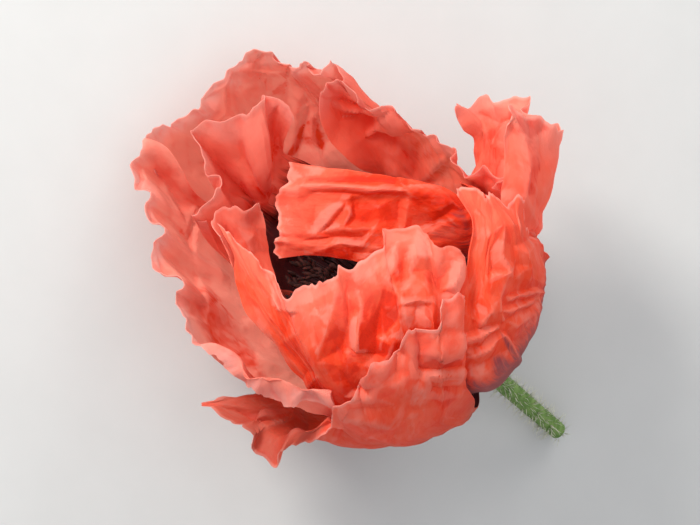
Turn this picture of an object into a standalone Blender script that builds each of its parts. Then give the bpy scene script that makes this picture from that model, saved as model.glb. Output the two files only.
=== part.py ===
"""A poppy flower, picked and laid down: ten crumpled petals round a cup of stamens.

The bloom is drawn about the centre of its bowl, in millimetres, with x to the viewer's
right, y up and z towards the viewer. Its axis and its rim are given as they look from
there, and at the end the whole flower is laid on its side, on the bowl and the cut stem.
"""
import math

import bpy
import numpy as np
from mathutils import Matrix, Vector

MM = 0.001

# The viewer stands this far from the bowl's centre, opposite this point of the picture plane
VIEW_DISTANCE = 730.0
VIEW_X = -6.5
VIEW_Y = 2.875

# The bloom's axis leans this far from the line of sight, up to the viewer's left
AXIS_LEAN = 48.0
AXIS_TURN = 139.4

# Lying down, the axis still points this far above the table
AXIS_RISE = 28.0

# Petals: thickness, the radius where their claws stop, and how closely they are meshed
PETAL_THICK = 0.7
CLAW_RADIUS = 5.75
RULED_ROWS = 6
RULED_TOP = 72.0
RULED_MARGIN = 9.0
ARC_STEP = 14.0
FLARE = 1.4
WIDE_COLUMN = 6.5
ROWS = (0, 0.14, 0.29, 0.44, 0.58, 0.71, 0.83, 0.92, 1)

# The outermost petals lie on a bowl of this radius
BOWL_RADIUS = 42.2

# Two low outward bulges that the bowl rests on: azimuth, angle from the base
REST_BULGES = ((160, 72), (199, 72))
BULGE_DEPTH = 3.9
BULGE_WIDTH = 13.0

# The stem ends in the column that carries the petals, the stamens and the ovary. It swells
# by these amounts at shares of its length, then by the neck's radii above the column's foot
STEM_RADIUS = 2.3
STEM_SWELLS = ((0, 0), (0.33, 0.05), (0.66, 0.15))
NECK_RINGS = ((-5, 2.9), (-2, 3.8), (0, 4.65), (1.2, 5.35))
COLUMN_RADIUS = 5.35
COLUMN_FOOT = -45.0
COLUMN_TOP = -32.9
STEM_SIDES = 20

# Ovary and the rayed disc on it: height on the axis and radius, from the foot up
OVARY_RINGS = (
    (-32.5, 3.6), (-31, 3.9), (-28.5, 5.3), (-25, 6.7), (-21, 7.4), (-17.5, 7.2), (-15.4, 6.4),
)
DISC_RINGS = ((-15.05, 6.4), (-14.7, 8.2), (-14.1, 8.8), (-13.4, 7.8), (-12.5, 4.2))
RAYS = 13
RAY_DEPTH = 0.09
RIBBING_DEPTH = 0.02
SEED_SIDES = 52

# Stamens: two rows on a low ring, drawn out through stations that are shares of their length
STAMENS_ROUND = 30
RING_RADII = (4.75, 6.0, 7.2)
RING_FOOT = -32.5
RING_TOP = -31.5
FILAMENT = 0.42
ANTHER = 0.85
STATIONS = (0.1, 0.3, 0.58, 0.86, 0.94, 1)
ANTHER_FROM = 0.9
BLUNT_TIP = 0.5
OUTWARD_CURVE = 0.8
AHEAD = 0.01
SQUARE = ((1, -1), (1, 1), (-1, 1), (-1, -1))

# The tips' distance from the axis, then their height: each in the shelter of the centre fold,
# what it gains in the open, and what it gains or loses towards or away from the far side
INNER_TIPS = ((11.6, 5.4, 2.5), (-9.0, 1.0, 4.0))
OUTER_TIPS = ((13.0, 10.5, 5.0), (-12.0, 5.0, 6.0))
FOLD_AZIMUTH = 78.0
SHELTERED = 28.0
OPENING_UP = 22.0
FAR_AZIMUTH = 190.0

# Petal colours, as seen in daylight
CORAL = (0.84, 0.13, 0.07)
CORAL_PALE = (0.86, 0.19, 0.12)
CORAL_DEEP = (0.80, 0.10, 0.045)
STEM_GREEN = (0.16, 0.27, 0.07)
OVARY_GREEN = (0.17, 0.20, 0.10)
DARK_PURPLE = (0.03, 0.012, 0.03)
PETAL_ROUGHNESS = 0.55
GREEN_ROUGHNESS = 0.6
DARK_ROUGHNESS = 0.8

# Each rib of a petal runs from the base to the rim: its azimuth and radius where it lies on
# the bowl, then the points that it passes higher up, the last one on the rim
OUTER_FRONT_RIBS = (
    (-108, 42.6, (-26.5, -28, -15)),
    (-104, 42.6, (-27, -31.5, -13), (-33, -30.5, -10.5)),
    (-100, 42.6, (-25, -33, -12), (-32, -31.6, -9), (-43, -31, -8)),
    (-96, 42.6, (-29, -34, -9), (-42, -32.4, -7)),
    (-92, 42.6, (-29, -36, -7), (-36.5, -38.8, -4)),
    (-89, 42.6, (-30, -35.5, -5), (-34, -38.6, -1)),
    (-86, 42.6, (-30, -36.5, -2), (-32.2, -39.4, 1)),
    (-83, 42.6, (-27, -38, -3), (-31.5, -42.3, 0)),
    (-79, 42.6, (-25, -40, -1), (-28.6, -45.1, 1)),
    (-75, 42.6, (-22.5, -39.5, 0), (-25.9, -47.4, 3)),
    (-71, 42.4, (-20.5, -38.5, 6), (-24.5, -44.3, 6)),
    (-66, 42.2, (-16.5, -38, 12), (-18.2, -42.5, 9)),
    (-61, 42.2, (-12.8, -36.3, 17), (-15, -40.3, 14)),
    (-56, 42.2, (-11.3, -36, 21)),
    (-52, 42.2, (-8.6, -30.5, 29)),
    (-49, 42.2, (-5, -29.4, 30.5)),
    (-46, 42.2, (-4.1, -25.5, 34)),
    (-43, 42.2, (-1.5, -22, 36.5)),
    (-39, 42.2, (3.6, -20.2, 37.5)),
    (-36, 42.2, (5, -17.5, 38.5)),
    (-32, 42.2, (8, -14, 39.5)),
    (-28.5, 42.2, (11, -12.8, 39.8)),
    (-26, 42.2, (14, -12.8, 39)),
    (-23.5, 42.1, (15, -7.2, 40)),
    (-21, 41.6, (20.3, -4.8, 37.8)),
    (-18.5, 41, (24.6, -32, 9.5), (23, -28.5, 21.8), (22.3, -24.5, 27.2),
     (21, -17, 32.4), (21.3, -10, 35.3), (21.2, -5.6, 37)),
)

OUTER_LEFT_RIBS = (
    (-165, 40.5, (-45.5, 22, -17), (-48.5, 27.3, -14), (-52.5, 32.2, -11.5), (-57.5, 33.6, -11)),
    (-162, 40.5, (-60, 30, -12)),
    (-159, 40.5, (-61, 27.4, -12)),
    (-156, 40.5, (-58.6, 24, -10)),
    (-153, 40.5, (-55.7, 20, -8)),
    (-150.5, 40.5, (-56.8, 17, -7)),
    (-148, 40.5, (-57.2, 14.3, -6)),
    (-145, 40.5, (-54, 10.4, -4)),
    (-142, 40.5, (-55.5, 7.3, -4)),
    (-138, 40.5, (-54, 3, -3)),
    (-134, 40.5, (-50.6, -0.5, -2)),
    (-131, 40.5, (-48.9, -2.7, -1)),
    (-128, 40.5, (-50.4, -5.5, -2)),
    (-123, 41, (-49.3, -11, -1)),
    (-118, 41, (-46, -15.3, 1)),
    (-112, 41, (-40.5, -17.8, 4), (-42, -19.3, 3)),
    (-108, 41, (-37, -20, 6), (-39.5, -21.3, 4)),
    (-104, 39.6, (-33.8, -23.2, 9.5), (-37.5, -24.5, 5)),
    (-99, 38.6, (-31.8, -25.6, 12), (-34.2, -28.1, 7)),
    (-94, 37.6, (-29, -25.8, 16), (-30.2, -28.8, 11)),
    (-91, 37.1, (-26.5, -25.7, 19), (-28.8, -30.7, 12)),
    (-87, 36.7, (-24, -25.9, 22), (-25, -32, 15)),
    (-83, 36.4, (-21.2, -27.6, 23), (-22.2, -33.7, 20)),
    (-78, 36.3, (-17.5, -29.3, 24), (-17.3, -32.5, 22)),
    (-73, 36.3, (-14.7, -29.6, 25.1), (-13.2, -32.9, 22.7)),
    (-68, 36.6, (-10.8, -30.1, 25.3), (-9.5, -31.9, 24.2)),
)

OUTER_BACK_RIBS = (
    (131, 42.2, (-8.5, 47, -14)),
    (134, 42.2, (-9.1, 50.4, -12)),
    (136, 42.2, (-10, 52.6, -12)),
    (138, 42.2, (-12.3, 53.4, -11)),
    (140, 42.2, (-13.4, 51.2, -9)),
    (142, 42.2, (-14.8, 51.2, -8)),
    (144, 42.2, (-15.3, 53.8, -9)),
    (146.5, 42.2, (-18.5, 54.8, -9)),
    (149, 42.2, (-20.5, 52.8, -10)),
    (151, 42.2, (-21.8, 51.6, -10)),
    (153, 42.2, (-24, 54.8, -10)),
    (155, 42.2, (-26, 56.4, -10)),
    (158, 42.2, (-28.5, 55.4, -9)),
    (161, 42.2, (-31, 56, -9)),
    (164, 42.2, (-34, 55, -10)),
    (167, 42.2, (-37, 52, -10)),
    (170, 42.2, (-39.5, 49.3, -10)),
    (173, 42.2, (-42, 47.9, -9)),
    (176, 42.2, (-44.4, 44.6, -8.5)),
    (178, 42.2, (-45.2, 42.9, -11)),
    (181, 42.2, (-48, 41, -12)),
    (185, 42.2, (-51.5, 37.4, -13)),
    (190, 42.2, (-54, 37.9, -13)),
    (195, 42.2, (-56.5, 36.5, -14)),
    (202, 42.2, (-58.3, 33.5, -15.5)),
    (209, 42.2, (-56, 26, -19)),
)

INNER_BACK_RIBS = (
    (150, 40.4, (-5.5, 27.5, -22), (-12.5, 35, -14), (-14.3, 40.5, -11), (-13.8, 45.5, -9)),
    (146, 40.4, (-12, 48.5, -9)),
    (143, 40.4, (-9.8, 50, -8.5)),
    (140, 40.4, (-7.5, 48.2, -9)),
    (137.5, 40.4, (-4, 46, -10)),
    (135, 40.4, (-1.5, 43.5, -12)),
    (133, 40.4, (0, 41.8, -13)),
    (130, 40.4, (3.6, 42.5, -15)),
    (128, 40.4, (6.5, 40.7, -16)),
    (126, 40.2, (8.2, 38, -17)),
    (124.5, 40, (9.2, 36.4, -17)),
    (122, 39.7, (12, 36.2, -17.5)),
    (120.5, 39.5, (12.8, 34.7, -17)),
    (118, 39.2, (15.2, 35, -17)),
    (115, 38.9, (18, 33.5, -16)),
    (112, 38.6, (20, 32.6, -15)),
    (109.5, 38.4, (20.3, 30, -13.5)),
    (107, 38.3, (20.4, 28, -12)),
    (103, 38.2, (22.2, 25.2, -10)),
    (99, 38.2, (24.7, 25.4, -8.5)),
    (95.5, 38.2, (27.2, 27.1, -8.5)),
    (91, 38.2, (30, 25.2, -6)),
    (85, 38.2, (31.3, 23, -2)),
    (80, 38.2, (28.5, 21.6, 2)),
)

EAR_RIBS = (
    (112, 40.6, (25.3, 26, -19), (24.9, 30, -17), (24.5, 34.8, -14),
     (22, 36.8, -11), (20, 40, -9), (18.9, 42, -8)),
    (109, 40.6, (27, 31, -16), (26.5, 36, -14), (19.8, 43.4, -9)),
    (105, 40.6, (28, 33, -15), (22.5, 42.6, -12)),
    (101, 40.6, (29, 33, -14), (26, 45.2, -13)),
    (97, 40.6, (30, 33, -13), (28, 45.5, -13)),
    (93, 40.6, (31, 32, -12), (30.5, 43, -13)),
    (89, 40.4, (32.5, 31, -9), (32.5, 44.5, -12)),
    (85, 40.4, (34, 30, -8), (35, 44.9, -11)),
    (81, 40.4, (36, 29, -8), (39.5, 43.9, -8)),
    (77, 40.4, (38, 28, -7), (38.5, 40.8, -5)),
    (73, 40.4, (41, 26, -5), (42, 38, -3)),
    (69, 40.2, (39.3, 10.8, -1), (44, 19.5, -2), (45.7, 27, -2), (45.8, 36, 0)),
    (65, 40.2, (39.3, 10.3, 3), (44.4, 19.5, 3.5), (46.2, 28, 3), (46.7, 35.3, 4)),
    (61, 40.2, (38.6, 11, 8), (43, 20, 10), (44.5, 28, 10), (44.5, 37, 9)),
    (58, 40.4, (37, 12, 12), (40, 20, 15.5), (41, 29, 15), (42, 39, 12.5)),
    (55, 40.4, (35.5, 13, 15), (37.5, 21, 18.5), (37.5, 30, 18.5), (37.8, 40.1, 16.5)),
    (52, 40.4, (34, 14, 17.5), (35, 21, 20), (35, 30, 20), (34.2, 42, 19)),
    (49, 40.4, (31, 14, 20.5), (31.6, 20, 21.5), (33, 28, 21), (33.3, 33, 20.7), (34, 38.6, 20.3)),
)

OUTER_RIGHT_RIBS = (
    (-24, 38, (19.5, -21, 25.5), (20, -12, 30), (20.5, -4, 31.5),
     (23.8, 6, 31), (23.6, 12, 28.5), (22.3, 16.5, 25), (20.3, 19.8, 21.5)),
    (-18, 38.1, (22.5, -6, 31.2), (24.3, 8, 29), (21, 21.7, 18.5)),
    (-13, 39.1, (24, -6, 30.3), (25.8, 9, 28), (23.8, 22, 19.5)),
    (-8, 40.5, (25.5, -6, 29.8), (27, 9, 28.2), (25.8, 20.6, 22)),
    (-1, 41.3, (27.3, -6, 29.8), (28, 9, 28.4), (26.8, 18.8, 24.5)),
    (7, 41.6, (29.3, -6, 29), (29, 9, 29), (27.3, 19, 26)),
    (14, 41.8, (29, 19.9, 27)),
    (21, 41.9, (31.2, 18.6, 26.5)),
    (27, 41.9, (33.2, 17.2, 25)),
    (31, 41.9, (35.2, 11.1, 24.6), (35.2, 20.2, 22.5)),
    (35, 41.9, (36.8, 8.8, 21.5), (36.4, 13.9, 22), (37.3, 18.2, 20.5)),
    (38.5, 41.9, (36.8, 12.8, 19.9)),
    (42.5, 41.9, (38.3, 10.7, 17.1)),
    (47, 41.9, (40.1, 8.6, 11.8)),
    (53, 41.9, (41.9, 5.4, 6)),
    (62, 41.9, (40.8, 2.8, -9)),
    (74, 41.9, (37.3, 3, -19)),
    (86, 41.9, (31.4, 4, -27.5)),
)

INNER_FRONT_RIBS = (
    (-76, 34, (-16.8, -28.5, 20), (-21.5, -23.5, 22), (-25.5, -16.7, 24.5),
     (-31.3, -11, 21.5), (-34.8, -2.8, 16.5), (-35.6, 4, 12), (-40.3, 12.6, 2)),
    (-73, 34.3, (-17.4, -27.1, 22.3), (-21.8, -22.1, 24.7), (-25.5, -15.4, 26.8),
     (-29, -9, 26), (-32.9, -2.9, 20.4), (-34.8, 3.7, 14.4), (-38.3, 11.3, 6)),
    (-70, 34.6, (-17.1, -26.2, 23.9), (-21.8, -19.8, 26.7), (-25.1, -12.9, 28.6),
     (-28, -7.7, 27), (-32.1, 0.2, 20.7), (-35, 8, 12)),
    (-66, 35, (-16.7, -25.2, 25.4), (-21.3, -18.6, 28.2), (-24.4, -11.5, 29.8),
     (-26, -6.2, 29.4), (-29.8, -0.6, 24.6), (-31, 5, 18.5)),
    (-62, 35.6, (-16.7, -24.2, 26.7), (-21.1, -16.7, 29.7), (-23.7, -9.4, 31), (-28, 1.5, 23.5)),
    (-58, 36.2, (-16.6, -23.1, 27.9), (-20.9, -13.9, 31.1), (-25.3, -1.8, 27.5)),
    (-54, 37, (-15.1, -24, 28), (-19.4, -15.1, 31.5), (-21.9, -5.9, 32)),
    (-49, 38, (-17.7, -2.8, 35)),
    (-45, 38.5, (-15, -3, 36)),
    (-42, 38.9, (-13, -1.1, 36.8)),
    (-38, 39.6, (-10, -1, 37.8)),
    (-35, 39.6, (-9, 1.9, 37.8)),
    (-32.5, 39.6, (-6, 1.9, 38.3)),
    (-30, 39.6, (3.4, -14, 37.4), (-1, 4.8, 38.6)),
    (-28.5, 39.6, (5.6, -14, 37.2), (1.4, 6, 38.6)),
    (-27, 39.6, (7.6, -14, 36.9), (4.8, -2, 39.4), (1.7, 11, 37.5)),
    (-26, 39.6, (9.6, -14, 36.6), (7.6, -3, 39.1), (4, 11.7, 37)),
    (-25, 39.6, (11.6, -14, 36.1), (11.2, -4, 38.2), (9.5, 12.2, 36)),
    (-24, 39.6, (13.2, -14, 35.7), (13.8, -5, 37.4), (12.5, 10, 36)),
    (-23, 39.6, (14.6, -14, 35.2), (16, -5, 36.5), (15.5, 6.2, 36)),
    (-22, 39.6, (15.8, -14, 34.7), (17.8, -5, 35.7), (17.2, 7, 35)),
    (-20.5, 39.7, (16.9, -14, 34.3), (19.3, -5, 34.9), (20.2, 6.5, 34.2)),
    (-19, 39.8, (18, -14, 33.9), (20.6, -4.5, 34.2), (22.4, 0.5, 33.6), (22.3, 4.6, 33)),
)

INNER_LEFT_RIBS = (
    (160, 38.8, (-21.6, 29.2, -20.6), (-23.4, 30.6, -17.5),
     (-23.3, 32, -15), (-21.2, 35.8, -12.5), (-20.2, 39.3, -11)),
    (164, 38.8, (-23.1, 27.8, -20.9), (-24.7, 30, -17.9), (-24.5, 36, -13), (-22.5, 43, -10)),
    (168, 38.8, (-24.6, 26.4, -21.1), (-26.2, 28.2, -18.1), (-27.5, 37, -12.5), (-26, 44.3, -9)),
    (171, 38.6, (-25.6, 25, -21.1), (-27.2, 26.8, -18.1), (-29.2, 38, -11), (-28.6, 44.8, -8)),
    (173, 38.2, (-25.9, 23, -18.8), (-28.3, 26.5, -10.5), (-28.5, 34, -6), (-29.7, 43, -3.5)),
    (177, 38.6, (-27.5, 21.8, -17.4), (-29.6, 24.5, -12.7), (-31.5, 30, -8), (-33, 39.9, -3)),
    (181, 38.8, (-27.9, 20.5, -18.7), (-37.5, 38.8, -4)),
    (185, 38.8, (-29.1, 19, -18.6), (-42.4, 38.4, -6)),
    (189, 38.8, (-46.8, 35.2, -8)),
    (193, 38.8, (-44.8, 30.3, -6)),
    (197, 38.8, (-43, 27.5, -4.5)),
    (200, 38.8, (-42.3, 25, -4)),
    (203, 38.8, (-40, 22.8, -4)),
    (207, 38.8, (-40.8, 20.3, -4.5)),
    (211, 38.8, (-44.5, 17.3, -7)),
    (215, 38.8, (-46.3, 14.6, -8)),
    (219, 38.8, (-44.7, 12.5, -8)),
    (223, 38.8, (-41.5, 12.2, -8)),
)

SIDE_FOLD_RIBS = (
    (-122, 36.8, (-34, 0, 0), (-38.3, 9, -1.5)),
    (-127, 36.8, (-34.5, 2.7, -4.2), (-40.3, 13, -3)),
    (-132, 36.8, (-29.3, -9.1, -15.6), (-32.8, 0.3, -10.4), (-38.3, 15.6, -5)),
    (-137, 36.8, (-28.4, -7.4, -16.2), (-31.5, 1.6, -11.5), (-35.5, 16.8, -6)),
    (-142, 36.8, (-27.5, -5.8, -16.7), (-30, 2.9, -12.5), (-32.5, 16.6, -7)),
    (-147, 36.8, (-26.5, -4.3, -17), (-28.4, 4.1, -12.9), (-30, 17.9, -8)),
    (-152, 36.8, (-25.6, -3, -17), (-26, 5, -13), (-27, 11, -10.5), (-28.4, 15.3, -9)),
)

CENTRE_FOLD_RIBS = (
    (108, 35.2, (22.5, 18, 1), (16, 20.6, 5.5), (9, 22.7, 9),
     (-3, 25.3, 10.5), (-15, 27, 10), (-21.5, 27.4, 9)),
    (101, 35.2, (22.5, 16.3, 3), (16, 18.8, 7.5), (9, 20.6, 10.8),
     (-3, 21.8, 12.8), (-15, 22, 13), (-22.4, 22.8, 10.5)),
    (93, 35.2, (22.5, 14, 4), (16, 15.5, 7), (9, 17.3, 9.3),
     (-3, 17.5, 10.8), (-15, 17.8, 12), (-25, 18.2, 9)),
    (84, 35.2, (22.3, 11.3, 3.5), (16, 12, 5.8), (9, 13, 8),
     (-3, 12.7, 10.2), (-15, 12.8, 12), (-24.6, 13, 9.5)),
    (75, 35.2, (21.5, 8.5, 2.5), (16, 9, 4.5), (9, 9, 7), (-3, 8.6, 9), (-15, 8.9, 11), (-24, 9.6, 10)),
    (66, 35.2, (20.5, 6, 1), (16, 5.6, 3), (9, 5, 6), (-3, 5, 8.2), (-15, 6, 10), (-25.9, 7.3, 9.5)),
    (58, 35.2, (19, 4, -1), (15, 3, 1.5), (8, 2.6, 5), (-4, 3.2, 7), (-15, 4.8, 8.5), (-24.6, 3.8, 9)),
)

PETALS = (
    ("outer_front", OUTER_FRONT_RIBS, CORAL),
    ("outer_left", OUTER_LEFT_RIBS, CORAL),
    ("outer_back", OUTER_BACK_RIBS, CORAL),
    ("outer_right", OUTER_RIGHT_RIBS, CORAL),
    ("ear", EAR_RIBS, CORAL_PALE),
    ("inner_back", INNER_BACK_RIBS, CORAL_DEEP),
    ("inner_front", INNER_FRONT_RIBS, CORAL),
    ("inner_left", INNER_LEFT_RIBS, CORAL_PALE),
    ("side_fold", SIDE_FOLD_RIBS, CORAL_PALE),
    ("centre_fold", CENTRE_FOLD_RIBS, CORAL),
)

# Folds seen from the front: height of the crest, half its width, and the line it follows
FRONT_FOLDS = (
    (1.5, 5, ((-3, 2), (-5, -10), (-5, -19))),
    (-1.4, 5, ((4, 1), (2, -9), (0, -19))),
    (1.2, 5, ((10, 6), (7, -6), (6, -15))),
    (-1.2, 5, ((-10, -3), (-12, -12), (-10, -24))),
    (1.2, 5, ((-21, -14), (-16, -20), (-12, -28))),
    (-1.1, 5, ((14, 4), (15, -4), (12, -10))),
    (1.0, 4, ((22, -4), (31, -3), (41, -6))),
    (-1.0, 4, ((22, -10), (31, -8), (41, -11))),
    (1.0, 4, ((22, -15), (30, -13), (39, -17))),
    (-0.9, 4, ((8, -22), (20, -22))),
    (0.9, 4, ((-4, -35), (8, -33), (18, -27))),
)
FOLD_FRONT_Z = 4.0

# Pleats all round, the same through every layer: waves round the bowl, height in millimetres
PLEATS = ((9, 0.6, 0.5), (17, 2.1, 0.4))
PLEAT_FROM = 40.0
PLEAT_FULL = 85.0


def bloom_axes():
    """The axis towards the mouth, the azimuth-0 direction (the viewer's side) and the third."""
    lean, turn = math.radians(AXIS_LEAN), math.radians(AXIS_TURN)
    across = np.array((math.cos(turn), math.sin(turn), 0.0))
    viewer = np.array((0.0, 0.0, 1.0))
    axis = math.sin(lean) * across + math.cos(lean) * viewer
    side = -math.cos(lean) * across + math.sin(lean) * viewer
    return axis, side, np.cross(axis, side)


AXIS, SIDE, THIRD = bloom_axes()


def from_picture(x, y, z):
    """The point at depth z that the viewer sees at x, y on the picture plane."""
    scale = (VIEW_DISTANCE - z) / VIEW_DISTANCE
    return np.array((VIEW_X + (x - VIEW_X) * scale, VIEW_Y + (y - VIEW_Y) * scale, z))


def to_picture(points):
    scale = VIEW_DISTANCE / (VIEW_DISTANCE - points[..., 2])
    return VIEW_X + (points[..., 0] - VIEW_X) * scale, VIEW_Y + (points[..., 1] - VIEW_Y) * scale


def round_axis(height, radius, azimuth):
    """The point at a height on the axis, a distance from it and an azimuth in radians."""
    return height * AXIS + radius * (math.cos(azimuth) * SIDE + math.sin(azimuth) * THIRD)


def on_bowl(azimuth, angle, radius):
    """The point of the bowl at an azimuth and an angle from its base, both in degrees."""
    angle = math.radians(angle)
    return round_axis(-radius * math.cos(angle), radius * math.sin(angle), math.radians(azimuth))


def base_angle(point):
    """Angle from the bowl's base, in degrees."""
    return math.degrees(math.acos(-point.dot(AXIS) / np.linalg.norm(point)))


def through(knots, points, at):
    """Smooth curve through points, whose slopes are weighed by the steps between knots."""
    knots, points, at = np.asarray(knots), np.asarray(points), np.asarray(at)
    tail = (1,) * (points.ndim - 1)
    step = np.diff(knots).reshape((-1,) + tail)
    rise = np.diff(points, axis=0) / step
    weight = step[:-1] / (step[:-1] + step[1:])
    slope = np.concatenate((rise[:1], rise[:-1] * (1 - weight) + rise[1:] * weight, rise[-1:]))
    i = np.clip(np.searchsorted(knots, at, side="right") - 1, 0, len(knots) - 2)
    s = (at - knots[i]).reshape((-1,) + tail) / step[i]
    start = (1 + 2 * s) * (1 - s) ** 2 * points[i] + s * (1 - s) ** 2 * step[i] * slope[i]
    return start + s * s * (3 - 2 * s) * points[i + 1] + s * s * (s - 1) * step[i] * slope[i + 1]


def arc_between(start, end):
    """Points of an arc about the bowl's centre, whose radius grows slowly, then faster."""
    near, far = np.linalg.norm(start), np.linalg.norm(end)
    turn = math.acos(min(1.0, start.dot(end) / (near * far)))
    count = max(1, round(math.degrees(turn) / ARC_STEP))
    for step in range(1, count):
        part = step / count
        way = math.sin((1 - part) * turn) * start / near + math.sin(part * turn) * end / far
        yield way / math.sin(turn) * (near + (far - near) * part ** FLARE)
    yield end


def rib_curve(rib):
    """One rib, from the claw along the bowl and through its points to the rim."""
    azimuth, radius, *readings = rib
    points = [from_picture(*reading) for reading in readings]
    claw = math.degrees(math.asin(CLAW_RADIUS / radius))
    top = min(RULED_TOP, base_angle(points[0]) - RULED_MARGIN)
    nodes = [on_bowl(azimuth, angle, radius) for angle in np.linspace(claw, top, RULED_ROWS)]
    for point in points:
        nodes.extend(arc_between(nodes[-1], point))
    nodes = np.array(nodes)
    knots = np.concatenate(((0,), np.cumsum(np.linalg.norm(np.diff(nodes, axis=0), axis=1))))
    return through(knots, nodes, np.array(ROWS) * knots[-1])


def petal_grid(ribs):
    """A petal's points, column by column: one column a rib, more where the ribs lie wide apart."""
    curves = np.array([rib_curve(rib) for rib in ribs])
    gaps = np.linalg.norm(np.diff(curves, axis=0), axis=2)[:, len(ROWS) // 3:].mean(axis=1)
    knots = np.concatenate(((0,), np.cumsum(gaps)))
    columns = [0.0]
    for start, gap in zip(knots, gaps):
        parts = max(1, math.ceil(gap / WIDE_COLUMN))
        columns += [start + gap * part / parts for part in range(1, parts + 1)]
    return through(knots, curves, columns)


def fold_push(points):
    """How far the folds seen from the front push each point outwards."""
    x, y = to_picture(points)
    push = np.zeros(x.shape)
    for crest, width, line in FRONT_FOLDS:
        near = np.full(x.shape, np.inf)
        for (x0, y0), (x1, y1) in zip(line, line[1:]):
            along = ((x - x0) * (x1 - x0) + (y - y0) * (y1 - y0)) / ((x1 - x0) ** 2 + (y1 - y0) ** 2)
            along = np.clip(along, 0, 1)
            near = np.minimum(near, np.hypot(x - x0 - along * (x1 - x0), y - y0 - along * (y1 - y0)))
        push += crest * np.clip(1 - near / width, 0, 1)
    return push * np.clip(points[..., 2] / FOLD_FRONT_Z, 0, 1)


def crumple(points):
    """Folds, pleats and resting bulges, which move all the layers alike along their radius."""
    distance = np.linalg.norm(points, axis=-1, keepdims=True)
    ways = points / distance
    azimuth = np.arctan2(ways @ THIRD, ways @ SIDE)
    angle = np.degrees(np.arccos(np.clip(-(ways @ AXIS), -1, 1)))
    height = np.clip((angle - PLEAT_FROM) / (PLEAT_FULL - PLEAT_FROM), 0, 1)
    push = fold_push(points)
    for count, phase, depth in PLEATS:
        push += depth * height * np.sin(count * azimuth + phase)
    for bulge in REST_BULGES:
        middle = on_bowl(*bulge, 1.0)
        far = np.linalg.norm(ways - middle, axis=-1) * distance[..., 0] / BULGE_WIDTH
        push += BULGE_DEPTH * np.clip(1 - far ** 2, 0, 1) ** 2
    return points + ways * push[..., None]


def resting_frame():
    """Turns the bloom's frame into the table's: +X is the way the mouth faces, +Z is up."""
    rise = math.radians(AXIS_RISE)
    forward = Vector((math.cos(rise), 0, math.sin(rise)))
    upper = Vector((-math.sin(rise), 0, math.cos(rise)))
    table = np.array((forward, upper, forward.cross(upper)))
    return table.T @ np.array((AXIS, SIDE, THIRD)) * MM


def resting_depth():
    """How far the resting bulges reach below the bowl's centre."""
    azimuth, angle = REST_BULGES[0]
    lowest = on_bowl(azimuth, angle, BOWL_RADIUS + BULGE_DEPTH + PETAL_THICK / 2)
    return -(resting_frame() @ lowest)[2] / MM


def make_material(name, colour, roughness):
    material = bpy.data.materials.new(name)
    material.use_nodes = True
    shader = material.node_tree.nodes["Principled BSDF"]
    shader.inputs["Base Color"].default_value = (*colour, 1)
    shader.inputs["Roughness"].default_value = roughness
    material.diffuse_color = (*colour, 1)
    return material


def add_piece(name, points, faces, colour, roughness):
    """A named solid from points in the bloom's frame, in millimetres."""
    mesh = bpy.data.meshes.new(name)
    placed = np.asarray(points).reshape(-1, 3) @ resting_frame().T
    mesh.from_pydata(placed.tolist(), [], faces)
    mesh.update()
    mesh.shade_smooth()
    mesh.materials.append(make_material(name, colour, roughness))
    piece = bpy.data.objects.new(name, mesh)
    flower.objects.link(piece)
    return piece


def add_petal(name, ribs, colour):
    """A crumpled sheet between its ribs, split into triangles and given its thickness."""
    grid = crumple(petal_grid(ribs))
    rows = grid.shape[1]
    faces = []
    for column in range(len(grid) - 1):
        for row in range(rows - 1):
            low, high = column * rows + row, (column + 1) * rows + row
            if (column + row) % 2:
                faces += [(low, high, high + 1), (low, high + 1, low + 1)]
            else:
                faces += [(low, high, low + 1), (high, high + 1, low + 1)]
    petal = add_piece(name, grid, faces, colour, PETAL_ROUGHNESS)
    shell = petal.modifiers.new("Thickness", "SOLIDIFY")
    shell.thickness = PETAL_THICK * MM
    shell.offset = 0
    return petal


def add_loft(name, rings, colour, roughness):
    """A closed solid through rings of points, all with the same count, from foot to top."""
    count = len(rings[0])
    faces = [tuple(range(count))[::-1]]
    for ring in range(len(rings) - 1):
        low, high = ring * count, (ring + 1) * count
        for side in range(count):
            after = (side + 1) % count
            faces.append((low + side, low + after, high + after, high + side))
    last = (len(rings) - 1) * count
    faces.append(tuple(range(last, last + count)))
    return add_piece(name, np.array(rings), faces, colour, roughness)


def ring_at(height, radius, sides, wave=0.0):
    """Points round the axis, on a circle or on one whose rays stand out by the wave's share."""
    turns = [2 * math.pi * side / sides for side in range(sides)]
    return [round_axis(height, radius * (1 + wave * math.cos(RAYS * turn)), turn) for turn in turns]


def stem_length():
    """The height on the axis where the cut end just touches the table."""
    rise = math.radians(AXIS_RISE)
    return -(resting_depth() - STEM_RADIUS * math.cos(rise)) / math.sin(rise)


def add_stem():
    """The cut stem, its neck and the column that carries the flower's parts."""
    cut = stem_length()
    profile = [(cut + share * (COLUMN_FOOT - cut), STEM_RADIUS + swell) for share, swell in STEM_SWELLS]
    profile += [(COLUMN_FOOT + above, radius) for above, radius in NECK_RINGS]
    profile.append((COLUMN_TOP, COLUMN_RADIUS))
    rings = [ring_at(height, radius, STEM_SIDES) for height, radius in profile]
    add_loft("stem", rings, STEM_GREEN, GREEN_ROUGHNESS)


def add_ovary():
    """The ovary, ribbed under its rays, and the rayed disc that lies on it."""
    ovary = [ring_at(*ring, SEED_SIDES, RIBBING_DEPTH) for ring in OVARY_RINGS]
    add_loft("ovary", ovary, OVARY_GREEN, GREEN_ROUGHNESS)
    disc = [ring_at(*ring, SEED_SIDES, RAY_DEPTH) for ring in DISC_RINGS]
    add_loft("stigma_disc", disc, DARK_PURPLE, DARK_ROUGHNESS)


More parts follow.
